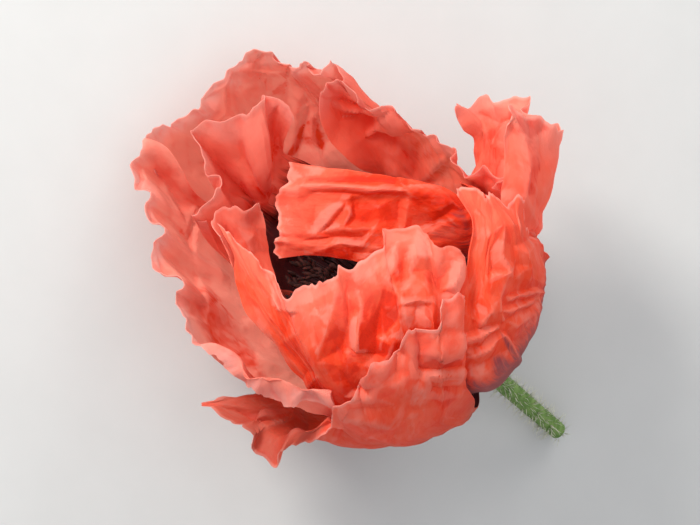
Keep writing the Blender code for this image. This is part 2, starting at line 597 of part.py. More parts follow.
def stamen_reach(azimuth, outer):
    """Where a stamen's tip stands: distance from the axis and height, by its azimuth."""
    degrees = math.degrees(azimuth)
    aside = abs((degrees - FOLD_AZIMUTH + 180) % 360 - 180)
    free = min(1.0, max(0.0, (aside - SHELTERED) / OPENING_UP))
    free = free * free * (3 - 2 * free)
    deep = math.cos(math.radians(degrees - FAR_AZIMUTH))
    tips = OUTER_TIPS if outer else INNER_TIPS
    return tuple(near + free * (more + far * deep) for near, more, far in tips)


def stamen_station(azimuth, start, tip, part):
    """The middle of a filament, part of the way from its root to its tip."""
    radius = start + (tip[0] - start) * part ** OUTWARD_CURVE
    return round_axis(RING_TOP + (tip[1] - RING_TOP) * part, radius, azimuth)


def ring_cells():
    """The ring's upper faces: corner angles and radii, and whether they are in the outer row."""
    step = 2 * math.pi / STAMENS_ROUND
    for side in range(STAMENS_ROUND):
        for row, outer in ((0, False), (1, True)):
            yield side, (side + 0.5) * step, RING_RADII[row], RING_RADII[row + 1], outer


def filament_square(azimuth, root, tip, part):
    """Four corners round a filament's path: outwards, sideways, back inwards."""
    middle = stamen_station(azimuth, root, tip, part)
    ahead = stamen_station(azimuth, root, tip, part + AHEAD) - middle
    ahead /= np.linalg.norm(ahead)
    sideways = -math.sin(azimuth) * SIDE + math.cos(azimuth) * THIRD
    outwards = np.cross(sideways, ahead)
    size = ANTHER if part >= ANTHER_FROM else FILAMENT
    if part == 1:
        size *= BLUNT_TIP
    return [middle + size * (lift * outwards + turn * sideways) for lift, turn in SQUARE]


def add_stamens():
    """A low ring whose upper faces are drawn out into filaments that end in anthers."""
    profile = (
        (RING_FOOT, RING_RADII[0]),
        (RING_FOOT, RING_RADII[2]),
        (RING_TOP, RING_RADII[2]),
        (RING_TOP, RING_RADII[1]),
        (RING_TOP, RING_RADII[0]),
    )
    points = [point for corner in profile for point in ring_at(*corner, STAMENS_ROUND)]
    faces = []

    def corner(ring, side):
        return ring * STAMENS_ROUND + side % STAMENS_ROUND

    def join(low, high):
        for here, after in zip(range(4), (1, 2, 3, 0)):
            faces.append((low[here], low[after], high[after], high[here]))

    for side in range(STAMENS_ROUND):
        for low, high in ((0, 1), (1, 2), (4, 0)):
            faces.append((corner(low, side), corner(low, side + 1),
                          corner(high, side + 1), corner(high, side)))
    for side, azimuth, near, far, outer in ring_cells():
        low, high = (2, 3) if outer else (3, 4)
        below = [corner(low, side), corner(low, side + 1), corner(high, side + 1), corner(high, side)]
        root, tip = (near + far) / 2, stamen_reach(azimuth, outer)
        for part in STATIONS:
            square = list(range(len(points), len(points) + 4))
            points += filament_square(azimuth, root, tip, part)
            join(below, square)
            below = square
        faces.append(tuple(below))
    add_piece("stamens", np.array(points), faces, DARK_PURPLE, DARK_ROUGHNESS)


def centre_on_table():
    """Moves the flower so that the middle of its box's underside is the origin."""
    depsgraph = bpy.context.evaluated_depsgraph_get()
    corners = []
    for piece in flower.objects:
        shape = piece.evaluated_get(depsgraph).data
        corners += [piece.matrix_world @ vertex.co for vertex in shape.vertices]
    corners = np.array(corners)
    low, high = corners.min(axis=0), corners.max(axis=0)
    shift = Matrix.Translation((-(low[0] + high[0]) / 2, -(low[1] + high[1]) / 2, -low[2]))
    for piece in flower.objects:
        piece.data.transform(shift)


for leftover in list(bpy.data.objects):
    bpy.data.objects.remove(leftover)
flower = bpy.data.collections.new("poppy_flower")
bpy.context.scene.collection.children.link(flower)

add_stem()
add_ovary()
add_stamens()
for name, ribs, colour in PETALS:
    add_petal(name, ribs, colour)
centre_on_table()
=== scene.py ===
"""The looks of a poppy flower that lies on its side: crumpled petals round dark stamens.

The bloom is drawn about the centre of its bowl, in millimetres, with x to the viewer's
right, y up and z towards the viewer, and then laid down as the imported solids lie.
"""

import math

import bmesh
import bpy
import numpy as np
from mathutils import Matrix, Vector
from mathutils.bvhtree import BVHTree
from mathutils.geometry import delaunay_2d_cdt


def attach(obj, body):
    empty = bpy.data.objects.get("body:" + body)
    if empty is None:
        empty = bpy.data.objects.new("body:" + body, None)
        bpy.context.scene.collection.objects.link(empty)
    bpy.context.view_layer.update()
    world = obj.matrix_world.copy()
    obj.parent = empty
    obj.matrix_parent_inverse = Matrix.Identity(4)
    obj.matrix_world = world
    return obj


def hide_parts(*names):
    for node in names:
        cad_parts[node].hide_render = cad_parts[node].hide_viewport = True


MM = 0.001

# The viewer stands this far from the bowl's centre, opposite this point of the picture plane
VIEW_DISTANCE = 730.0
VIEW_X = -6.5
VIEW_Y = 2.875
LENS_MM = 150.0
SENSOR_MM = 36.0

# The bloom's axis leans this far from the line of sight, up to the viewer's left
AXIS_LEAN = 48.0
AXIS_TURN = 139.4

# Lying down, the axis points this far above the table, and the bowl's centre is here
AXIS_RISE = 28.0
BOWL_CENTRE = (8.184, 3.22, 44.358)

# How the petals follow their ribs: the radius where their claws stop, how many points lie on the
# bowl, up to which angle from its base and how far short of the first point read, the degrees of
# one step beyond them, and how late the radius grows there
CLAW_RADIUS = 5.75
RULED_ROWS = 6
RULED_TOP = 72.0
RULED_MARGIN = 9.0
ARC_STEP = 14.0
FLARE = 1.4
PETAL_THICK = 0.16

# Each rib of a petal runs from the base to the rim: its azimuth and radius where it lies on
# the bowl, then the points that it passes higher up, the last one on the rim
OUTER_FRONT_RIBS = (
    (-108, 42.6, (-26.5, -28, -15)),
    (-104, 42.6, (-27, -31.5, -13), (-33, -30.5, -10.5)),
    (-100, 42.6, (-25, -33, -12), (-32, -31.6, -9), (-43, -31, -8)),
    (-96, 42.6, (-29, -34, -9), (-42, -32.4, -7)),
    (-92, 42.6, (-29, -36, -7), (-36.5, -38.8, -4)),
    (-89, 42.6, (-30, -35.5, -5), (-34, -38.6, -1)),
    (-86, 42.6, (-30, -36.5, -2), (-32.2, -39.4, 1)),
    (-83, 42.6, (-27, -38, -3), (-31.5, -42.3, 0)),
    (-79, 42.6, (-25, -40, -1), (-28.6, -45.1, 1)),
    (-75, 42.6, (-22.5, -39.5, 0), (-25.9, -47.4, 3)),
    (-71, 42.4, (-20.5, -38.5, 6), (-24.5, -44.3, 6)),
    (-66, 42.2, (-16.5, -38, 12), (-18.2, -42.5, 9)),
    (-61, 42.2, (-12.8, -36.3, 17), (-15, -40.3, 14)),
    (-56, 42.2, (-11.3, -36, 21)),
    (-52, 42.2, (-8.6, -30.5, 29)),
    (-49, 42.2, (-5, -29.4, 30.5)),
    (-46, 42.2, (-4.1, -25.5, 34)),
    (-43, 42.2, (-1.5, -22, 36.5)),
    (-39, 42.2, (3.6, -20.2, 37.5)),
    (-36, 42.2, (5, -17.5, 38.5)),
    (-32, 42.2, (8, -14, 39.5)),
    (-28.5, 42.2, (11, -12.8, 39.8)),
    (-26, 42.2, (14, -12.8, 39)),
    (-23.5, 42.1, (15, -7.2, 40)),
    (-21, 41.6, (20.3, -4.8, 37.8)),
    (-18.5, 41, (24.6, -32, 9.5), (23, -28.5, 21.8), (22.3, -24.5, 27.2),
     (21, -17, 32.4), (21.3, -10, 35.3), (21.2, -5.6, 37)),
)

OUTER_LEFT_RIBS = (
    (-165, 40.5, (-45.5, 22, -17), (-48.5, 27.3, -14), (-52.5, 32.2, -11.5), (-57.5, 33.6, -11)),
    (-162, 40.5, (-60, 30, -12)),
    (-159, 40.5, (-61, 27.4, -12)),
    (-156, 40.5, (-58.6, 24, -10)),
    (-153, 40.5, (-55.7, 20, -8)),
    (-150.5, 40.5, (-56.8, 17, -7)),
    (-148, 40.5, (-57.2, 14.3, -6)),
    (-145, 40.5, (-54, 10.4, -4)),
    (-142, 40.5, (-55.5, 7.3, -4)),
    (-138, 40.5, (-54, 3, -3)),
    (-134, 40.5, (-50.6, -0.5, -2)),
    (-131, 40.5, (-48.9, -2.7, -1)),
    (-128, 40.5, (-50.4, -5.5, -2)),
    (-123, 41, (-49.3, -11, -1)),
    (-118, 41, (-46, -15.3, 1)),
    (-112, 41, (-40.5, -17.8, 4), (-42, -19.3, 3)),
    (-108, 41, (-37, -20, 6), (-39.5, -21.3, 4)),
    (-104, 39.6, (-33.8, -23.2, 9.5), (-37.5, -24.5, 5)),
    (-99, 38.6, (-31.8, -25.6, 12), (-34.2, -28.1, 7)),
    (-94, 37.6, (-29, -25.8, 16), (-30.2, -28.8, 11)),
    (-91, 37.1, (-26.5, -25.7, 19), (-28.8, -30.7, 12)),
    (-87, 36.7, (-24, -25.9, 22), (-25, -32, 15)),
    (-83, 36.4, (-21.2, -27.6, 23), (-22.2, -33.7, 20)),
    (-78, 36.3, (-17.5, -29.3, 24), (-17.3, -32.5, 22)),
    (-73, 36.3, (-14.7, -29.6, 25.1), (-13.2, -32.9, 22.7)),
    (-68, 36.6, (-10.8, -30.1, 25.3), (-9.5, -31.9, 24.2)),
)

OUTER_BACK_RIBS = (
    (131, 42.2, (-8.5, 47, -14)),
    (134, 42.2, (-9.1, 50.4, -12)),
    (136, 42.2, (-10, 52.6, -12)),
    (138, 42.2, (-12.3, 53.4, -11)),
    (140, 42.2, (-13.4, 51.2, -9)),
    (142, 42.2, (-14.8, 51.2, -8)),
    (144, 42.2, (-15.3, 53.8, -9)),
    (146.5, 42.2, (-18.5, 54.8, -9)),
    (149, 42.2, (-20.5, 52.8, -10)),
    (151, 42.2, (-21.8, 51.6, -10)),
    (153, 42.2, (-24, 54.8, -10)),
    (155, 42.2, (-26, 56.4, -10)),
    (158, 42.2, (-28.5, 55.4, -9)),
    (161, 42.2, (-31, 56, -9)),
    (164, 42.2, (-34, 55, -10)),
    (167, 42.2, (-37, 52, -10)),
    (170, 42.2, (-39.5, 49.3, -10)),
    (173, 42.2, (-42, 47.9, -9)),
    (176, 42.2, (-44.4, 44.6, -8.5)),
    (178, 42.2, (-45.2, 42.9, -11)),
    (181, 42.2, (-48, 41, -12)),
    (185, 42.2, (-51.5, 37.4, -13)),
    (190, 42.2, (-54, 37.9, -13)),
    (195, 42.2, (-56.5, 36.5, -14)),
    (202, 42.2, (-58.3, 33.5, -15.5)),
    (209, 42.2, (-56, 26, -19)),
)

INNER_BACK_RIBS = (
    (150, 40.4, (-5.5, 27.5, -22), (-12.5, 35, -14), (-14.3, 40.5, -11), (-13.8, 45.5, -9)),
    (146, 40.4, (-12, 48.5, -9)),
    (143, 40.4, (-9.8, 50, -8.5)),
    (140, 40.4, (-7.5, 48.2, -9)),
    (137.5, 40.4, (-4, 46, -10)),
    (135, 40.4, (-1.5, 43.5, -12)),
    (133, 40.4, (0, 41.8, -13)),
    (130, 40.4, (3.6, 42.5, -15)),
    (128, 40.4, (6.5, 40.7, -16)),
    (126, 40.2, (8.2, 38, -17)),
    (124.5, 40, (9.2, 36.4, -17)),
    (122, 39.7, (12, 36.2, -17.5)),
    (120.5, 39.5, (12.8, 34.7, -17)),
    (118, 39.2, (15.2, 35, -17)),
    (115, 38.9, (18, 33.5, -16)),
    (112, 38.6, (20, 32.6, -15)),
    (109.5, 38.4, (20.3, 30, -13.5)),
    (107, 38.3, (20.4, 28, -12)),
    (103, 38.2, (22.2, 25.2, -10)),
    (99, 38.2, (24.7, 25.4, -8.5)),
    (95.5, 38.2, (27.2, 27.1, -8.5)),
    (91, 38.2, (30, 25.2, -6)),
    (85, 38.2, (31.3, 23, -2)),
    (80, 38.2, (28.5, 21.6, 2)),
)

EAR_RIBS = (
    (112, 40.6, (25.3, 26, -19), (24.9, 30, -17), (24.5, 34.8, -14),
     (22, 36.8, -11), (20, 40, -9), (18.9, 42, -8)),
    (109, 40.6, (27, 31, -16), (26.5, 36, -14), (19.8, 43.4, -9)),
    (105, 40.6, (28, 33, -15), (22.5, 42.6, -12)),
    (101, 40.6, (29, 33, -14), (26, 45.2, -13)),
    (97, 40.6, (30, 33, -13), (28, 45.5, -13)),
    (93, 40.6, (31, 32, -12), (30.5, 43, -13)),
    (89, 40.4, (32.5, 31, -9), (32.5, 44.5, -12)),
    (85, 40.4, (34, 30, -8), (35, 44.9, -11)),
    (81, 40.4, (36, 29, -8), (39.5, 43.9, -8)),
    (77, 40.4, (38, 28, -7), (38.5, 40.8, -5)),
    (73, 40.4, (41, 26, -5), (42, 38, -3)),
    (69, 40.2, (39.3, 10.8, -1), (44, 19.5, -2), (45.7, 27, -2), (45.8, 36, 0)),
    (65, 40.2, (39.3, 10.3, 3), (44.4, 19.5, 3.5), (46.2, 28, 3), (46.7, 35.3, 4)),
    (61, 40.2, (38.6, 11, 8), (43, 20, 10), (44.5, 28, 10), (44.5, 37, 9)),
    (58, 40.4, (37, 12, 12), (40, 20, 15.5), (41, 29, 15), (42, 39, 12.5)),
    (55, 40.4, (35.5, 13, 15), (37.5, 21, 18.5), (37.5, 30, 18.5), (37.8, 40.1, 16.5)),
    (52, 40.4, (34, 14, 17.5), (35, 21, 20), (35, 30, 20), (34.2, 42, 19)),
    (49, 40.4, (31, 14, 20.5), (31.6, 20, 21.5), (33, 28, 21), (33.3, 33, 20.7), (34, 38.6, 20.3)),
)

OUTER_RIGHT_RIBS = (
    (-24, 38, (19.5, -21, 25.5), (20, -12, 30), (20.5, -4, 31.5),
     (23.8, 6, 31), (23.6, 12, 28.5), (22.3, 16.5, 25), (20.3, 19.8, 21.5)),
    (-18, 38.1, (22.5, -6, 31.2), (24.3, 8, 29), (21, 21.7, 18.5)),
    (-13, 39.1, (24, -6, 30.3), (25.8, 9, 28), (23.8, 22, 19.5)),
    (-8, 40.5, (25.5, -6, 29.8), (27, 9, 28.2), (25.8, 20.6, 22)),
    (-1, 41.3, (27.3, -6, 29.8), (28, 9, 28.4), (26.8, 18.8, 24.5)),
    (7, 41.6, (29.3, -6, 29), (29, 9, 29), (27.3, 19, 26)),
    (14, 41.8, (29, 19.9, 27)),
    (21, 41.9, (31.2, 18.6, 26.5)),
    (27, 41.9, (33.2, 17.2, 25)),
    (31, 41.9, (35.2, 11.1, 24.6), (35.2, 20.2, 22.5)),
    (35, 41.9, (36.8, 8.8, 21.5), (36.4, 13.9, 22), (37.3, 18.2, 20.5)),
    (38.5, 41.9, (36.8, 12.8, 19.9)),
    (42.5, 41.9, (38.3, 10.7, 17.1)),
    (47, 41.9, (40.1, 8.6, 11.8)),
    (53, 41.9, (41.9, 5.4, 6)),
    (62, 41.9, (40.8, 2.8, -9)),
    (74, 41.9, (37.3, 3, -19)),
    (86, 41.9, (31.4, 4, -27.5)),
)

INNER_FRONT_RIBS = (
    (-76, 34, (-16.8, -28.5, 20), (-21.5, -23.5, 22), (-25.5, -16.7, 24.5),
     (-31.3, -11, 21.5), (-34.8, -2.8, 16.5), (-35.6, 4, 12), (-40.3, 12.6, 2)),
    (-73, 34.3, (-17.4, -27.1, 22.3), (-21.8, -22.1, 24.7), (-25.5, -15.4, 26.8),
     (-29, -9, 26), (-32.9, -2.9, 20.4), (-34.8, 3.7, 14.4), (-38.3, 11.3, 6)),
    (-70, 34.6, (-17.1, -26.2, 23.9), (-21.8, -19.8, 26.7), (-25.1, -12.9, 28.6),
     (-28, -7.7, 27), (-32.1, 0.2, 20.7), (-35, 8, 12)),
    (-66, 35, (-16.7, -25.2, 25.4), (-21.3, -18.6, 28.2), (-24.4, -11.5, 29.8),
     (-26, -6.2, 29.4), (-29.8, -0.6, 24.6), (-31, 5, 18.5)),
    (-62, 35.6, (-16.7, -24.2, 26.7), (-21.1, -16.7, 29.7), (-23.7, -9.4, 31), (-28, 1.5, 23.5)),
    (-58, 36.2, (-16.6, -23.1, 27.9), (-20.9, -13.9, 31.1), (-25.3, -1.8, 27.5)),
    (-54, 37, (-15.1, -24, 28), (-19.4, -15.1, 31.5), (-21.9, -5.9, 32)),
    (-49, 38, (-17.7, -2.8, 35)),
    (-45, 38.5, (-15, -3, 36)),
    (-42, 38.9, (-13, -1.1, 36.8)),
    (-38, 39.6, (-10, -1, 37.8)),
    (-35, 39.6, (-9, 1.9, 37.8)),
    (-32.5, 39.6, (-6, 1.9, 38.3)),
    (-30, 39.6, (3.4, -14, 37.4), (-1, 4.8, 38.6)),
    (-28.5, 39.6, (5.6, -14, 37.2), (1.4, 6, 38.6)),
    (-27, 39.6, (7.6, -14, 36.9), (4.8, -2, 39.4), (1.7, 11, 37.5)),
    (-26, 39.6, (9.6, -14, 36.6), (7.6, -3, 39.1), (4, 11.7, 37)),
    (-25, 39.6, (11.6, -14, 36.1), (11.2, -4, 38.2), (9.5, 12.2, 36)),
    (-24, 39.6, (13.2, -14, 35.7), (13.8, -5, 37.4), (12.5, 10, 36)),
    (-23, 39.6, (14.6, -14, 35.2), (16, -5, 36.5), (15.5, 6.2, 36)),
    (-22, 39.6, (15.8, -14, 34.7), (17.8, -5, 35.7), (17.2, 7, 35)),
    (-20.5, 39.7, (16.9, -14, 34.3), (19.3, -5, 34.9), (20.2, 6.5, 34.2)),
    (-19, 39.8, (18, -14, 33.9), (20.6, -4.5, 34.2), (22.4, 0.5, 33.6), (22.3, 4.6, 33)),
)

INNER_LEFT_RIBS = (
    (160, 38.8, (-21.6, 29.2, -20.6), (-23.4, 30.6, -17.5),
     (-23.3, 32, -15), (-21.2, 35.8, -12.5), (-20.2, 39.3, -11)),
    (164, 38.8, (-23.1, 27.8, -20.9), (-24.7, 30, -17.9), (-24.5, 36, -13), (-22.5, 43, -10)),
    (168, 38.8, (-24.6, 26.4, -21.1), (-26.2, 28.2, -18.1), (-27.5, 37, -12.5), (-26, 44.3, -9)),
    (171, 38.6, (-25.6, 25, -21.1), (-27.2, 26.8, -18.1), (-29.2, 38, -11), (-28.6, 44.8, -8)),
    (173, 38.2, (-25.9, 23, -18.8), (-28.3, 26.5, -10.5), (-28.5, 34, -6), (-29.7, 43, -3.5)),
    (177, 38.6, (-27.5, 21.8, -17.4), (-29.6, 24.5, -12.7), (-31.5, 30, -8), (-33, 39.9, -3)),
    (181, 38.8, (-27.9, 20.5, -18.7), (-37.5, 38.8, -4)),
    (185, 38.8, (-29.1, 19, -18.6), (-42.4, 38.4, -6)),
    (189, 38.8, (-46.8, 35.2, -8)),
    (193, 38.8, (-44.8, 30.3, -6)),
    (197, 38.8, (-43, 27.5, -4.5)),
    (200, 38.8, (-42.3, 25, -4)),
    (203, 38.8, (-40, 22.8, -4)),
    (207, 38.8, (-40.8, 20.3, -4.5)),
    (211, 38.8, (-44.5, 17.3, -7)),
    (215, 38.8, (-46.3, 14.6, -8)),
    (219, 38.8, (-44.7, 12.5, -8)),
    (223, 38.8, (-41.5, 12.2, -8)),
)

SIDE_FOLD_RIBS = (
    (-122, 36.8, (-34, 0, 0), (-38.3, 9, -1.5)),
    (-127, 36.8, (-34.5, 2.7, -4.2), (-40.3, 13, -3)),
    (-132, 36.8, (-29.3, -9.1, -15.6), (-32.8, 0.3, -10.4), (-38.3, 15.6, -5)),
    (-137, 36.8, (-28.4, -7.4, -16.2), (-31.5, 1.6, -11.5), (-35.5, 16.8, -6)),
    (-142, 36.8, (-27.5, -5.8, -16.7), (-30, 2.9, -12.5), (-32.5, 16.6, -7)),
    (-147, 36.8, (-26.5, -4.3, -17), (-28.4, 4.1, -12.9), (-30, 17.9, -8)),
    (-152, 36.8, (-25.6, -3, -17), (-26, 5, -13), (-27, 11, -10.5), (-28.4, 15.3, -9)),
)

CENTRE_FOLD_RIBS = (
    (108, 35.2, (22.5, 18, 1), (16, 20.6, 5.5), (9, 22.7, 9),
     (-3, 25.3, 10.5), (-15, 27, 10), (-21.5, 27.4, 9)),
    (101, 35.2, (22.5, 16.3, 3), (16, 18.8, 7.5), (9, 20.6, 10.8),
     (-3, 21.8, 12.8), (-15, 22, 13), (-22.4, 22.8, 10.5)),
    (93, 35.2, (22.5, 14, 4), (16, 15.5, 7), (9, 17.3, 9.3),
     (-3, 17.5, 10.8), (-15, 17.8, 12), (-25, 18.2, 9)),
    (84, 35.2, (22.3, 11.3, 3.5), (16, 12, 5.8), (9, 13, 8),
     (-3, 12.7, 10.2), (-15, 12.8, 12), (-24.6, 13, 9.5)),
    (75, 35.2, (21.5, 8.5, 2.5), (16, 9, 4.5), (9, 9, 7), (-3, 8.6, 9), (-15, 8.9, 11), (-24, 9.6, 10)),
    (66, 35.2, (20.5, 6, 1), (16, 5.6, 3), (9, 5, 6), (-3, 5, 8.2), (-15, 6, 10), (-25.9, 7.3, 9.5)),
    (58, 35.2, (19, 4, -1), (15, 3, 1.5), (8, 2.6, 5), (-4, 3.2, 7), (-15, 4.8, 8.5), (-24.6, 3.8, 9)),
)

PETALS = (
    ("outer_front", OUTER_FRONT_RIBS),
    ("outer_left", OUTER_LEFT_RIBS),
    ("outer_back", OUTER_BACK_RIBS),
    ("outer_right", OUTER_RIGHT_RIBS),
    ("ear", EAR_RIBS),
    ("inner_back", INNER_BACK_RIBS),
    ("inner_front", INNER_FRONT_RIBS),
    ("inner_left", INNER_LEFT_RIBS),
    ("side_fold", SIDE_FOLD_RIBS),
    ("centre_fold", CENTRE_FOLD_RIBS),
)

# Mesh step of each petal in millimetres, finer where the viewer looks straight at it
FINE_STEP = 0.42
PLAIN_STEP = 0.55
FINE_PETALS = ("inner_front", "centre_fold", "outer_right", "side_fold")

# Fold lines of the front, read on the picture: x, y and the height in millimetres.
# Between the lines lie flat facets.
FRONT_LINES = (
    ((-25.5, -2, 0), (-21.5, -6, 0), (-15, -3.2, 0), (-10, -1, 0), (-6, 1.5, 0.2)),
    (
        (-25, -8.8, 0.6), (-18, -9.2, 0.9), (-15, -8, 0.8), (-10, -5.5, 0.9), (-11, -11, 1.4),
        (-13.2, -17, 1.4), (-14.3, -21, 1),
    ),
    ((-22, -10.5, -0.4), (-20.4, -15, 0.2), (-15.5, -20.5, 1), (-14, -25, 0.7)),
    ((-23.5, -17, -0.2), (-20, -21, -0.7), (-17.5, -25, -0.6)),
    ((-7.8, -5, -0.6), (-7, -10, -1.2), (-6.9, -15, -1.3), (-6.8, -18.6, -0.9)),
    ((-3.6, -3.5, 0.4), (-3.6, -8.6, 1), (-4.2, -13, 1.2), (-4.8, -18.7, 1)),
    ((5.2, 8, 0.4), (4.4, 2, 0.9), (3.2, -1.6, 0.3)),
    ((-0.8, 1.5, -0.4), (-0.6, -4, -0.3)),
    ((2.2, -3.4, -0.9), (1.2, -9, -1.4), (0.2, -15, -1.3), (0.1, -20.2, -1.1)),
    ((5.5, -7.5, 0.7), (6.2, -12, 0.9), (7, -16.8, 0.8), (4.5, -16.9, 0.9), (2, -15.8, 0.6)),
    ((-9.5, -19.3, -0.4), (-4.8, -19.4, 0.2)),
    ((-9, -22.5, 0.4), (-4, -22.5, 0.5)),
    ((9.2, 8.5, 0.3), (9.8, 4.5, 1.1), (8.5, 0.5, 0.4)),
    ((7, 4, -0.4), (6.8, -1.5, -0.6)),
    ((13.5, 4.2, 0.5), (19.5, 4.4, 0.8)),
    ((13, 1.2, -0.6), (16.2, -2, -1.2), (16.5, -4.4, -1)),
    ((18.2, 1.5, 0.3), (20.8, 2, 1.5), (19, -3, 0.9), (20.3, -5, 0.2)),
    ((8.5, -2.5, 0.5), (12, -3, 0.7)),
    ((5.5, -5.4, 0.4), (10, -6.4, 1), (14.3, -7, 1), (14, -10, 0.6), (14.1, -13.5, 0.3)),
    ((10, -8, -0.3), (9.6, -12.5, -0.4)),
    ((17, -9, 0.1), (20.5, -9, 0.5)),
    ((15.5, -13.5, -0.3), (18.3, -12, 0.5), (20.5, -14, -0.2)),
    ((10.8, -15.5, -0.9), (10.9, -20, -1), (10.4, -23.6, -0.8)),
    ((8.3, -15.5, 0.4), (9, -20, 0.9), (9.2, -24, 0.7)),
    ((5.5, -19, -0.3), (4.5, -24, -0.4)),
    ((1.5, -23, 0.6), (3.5, -19.5, 0.5)),
    ((14, -16, 0.2), (14.2, -19.3, 1), (17, -20.6, 1.1), (20.5, -19, 1)),
    ((12.4, -22.2, -0.6), (17, -22.4, -0.5), (21.2, -20.8, -0.4)),
    ((12, -24.3, -0.9), (16, -24.2, -0.9), (21.5, -22.7, -0.7)),
    ((13, -25.8, 0.5), (20.7, -25, 0.8)),
    ((14, -28.4, -0.8), (17.5, -28.8, -0.9), (21.5, -28.3, -0.7)),
    ((15.5, -30.4, 0.4), (20.5, -30.2, 0.3)),
    ((11, -25.4, 0.4), (12.4, -29.5, 0.7), (11.5, -33, 0.5)),
    ((8.6, -27, 0.6), (8.6, -30.3, -0.4), (9, -33, -0.3)),
    ((0.5, -27, 0.7), (5, -26.8, 0.6), (7.2, -29, 0.3)),
    ((-4.5, -25.7, 0.3), (-2.6, -28, -0.9), (-6, -28.8, -0.4)),
    ((-8, -30, 0.6), (-1, -29.9, 0.7)),
    ((-7, -32.5, -0.4), (0, -32.3, -0.2), (5, -32, -0.3)),
    ((-8, -35.3, 0.4), (-4, -35, 0.6), (3.5, -36.8, 0.7), (6, -35.6, 0.5)),
    ((-8, -38.5, -0.3), (4, -39.5, -0.2)),
    ((24.2, 11, 0.2), (23.8, 6, 0), (24.3, 2, 0)),
    ((26.6, 9, 0.8), (27, 3, 1.1), (27.6, -1.4, 1), (33.2, 0.3, 1.5)),
    ((29.3, 6, -0.9), (30.3, 1.3, -0.9)),
    (
        (31.2, 12, 0.5), (31.2, 5, 0.6), (33.4, 0.4, 1.5), (31, -5.5, 1), (31, -9, 0.9),
        (31.7, -11.6, 0.8),
    ),
    ((34.5, 7, -0.8), (35.5, 2.5, -0.8)),
    ((37, 5, 0.4), (38.5, 2, 0.5)),
    ((23.5, -3, -0.6), (24.5, -7.5, -0.9), (24, -11, -0.5)),
    ((26, -4.6, 0.3), (28, -9.5, 1.2), (26.3, -12.2, 0.8)),
    ((22, -15, -0.9), (26, -13.9, -0.9), (29, -12.9, -0.8), (31.2, -12.2, -0.2)),
    ((22, -16.4, 0.4), (26, -15.6, 0.5), (30.5, -13.4, 0.4)),
    ((22, -18.4, -0.8), (25.5, -18.2, -0.9), (28.5, -15.9, -0.7), (31.1, -14.3, -0.3)),
    ((24, -20.2, 0.5), (28, -18.5, 0.8), (30.6, -16, 0.5)),
    ((21.7, -21.2, -0.6), (26, -23, -0.9), (28, -21.7, -0.7), (30.5, -19.6, -0.2)),
    ((25.5, -25.5, 0.4), (31, -21.6, 0.8), (33, -18.4, 0.5)),
    ((31.8, -14.9, 0.9), (33.8, -17.6, 0.9), (35.4, -21, 0.6)),
    ((33.2, -14.6, -0.9), (35.2, -17.6, -1), (36.6, -20.5, -0.5)),
    ((32.4, -5.6, 0.1), (36, -4.9, -0.7), (40, -3.2, -0.5)),
    ((34, -6.3, 0.5), (40, -4.5, 0.4)),
    ((32.2, -8, -0.7), (36, -7.4, -0.8), (40.5, -5.7, -0.5)),
    ((34, -9.2, 0.5), (39, -7.6, 0.5)),
    ((33, -11.5, -0.7), (37, -9.6, -0.8), (40, -7.6, -0.4)),
    ((35, -13, 0.6), (38.5, -11, 0.6)),
    ((35, -1.3, 0.3), (36.5, -2.9, -0.4), (39, -1.2, 0.3)),
    ((22.6, -25, -0.6), (24.4, -31, -0.8)),
    (
        (-32, -3, 0), (-31, -20, 0), (-22, -33, 0), (-12, -43, 0), (5, -45, 0), (21, -39, 0),
        (31, -34, 0), (41, -24, 0), (46, -5, 0), (45, 12, 0), (37, 20, 0), (27, 21, 0), (15, 17, 0),
        (5, 16, 0), (-6, 9, 0),
    ),
)

# These folds are whole where a petal lies this far in front of the bowl's centre
FOLD_FRONT_Z = 4.0

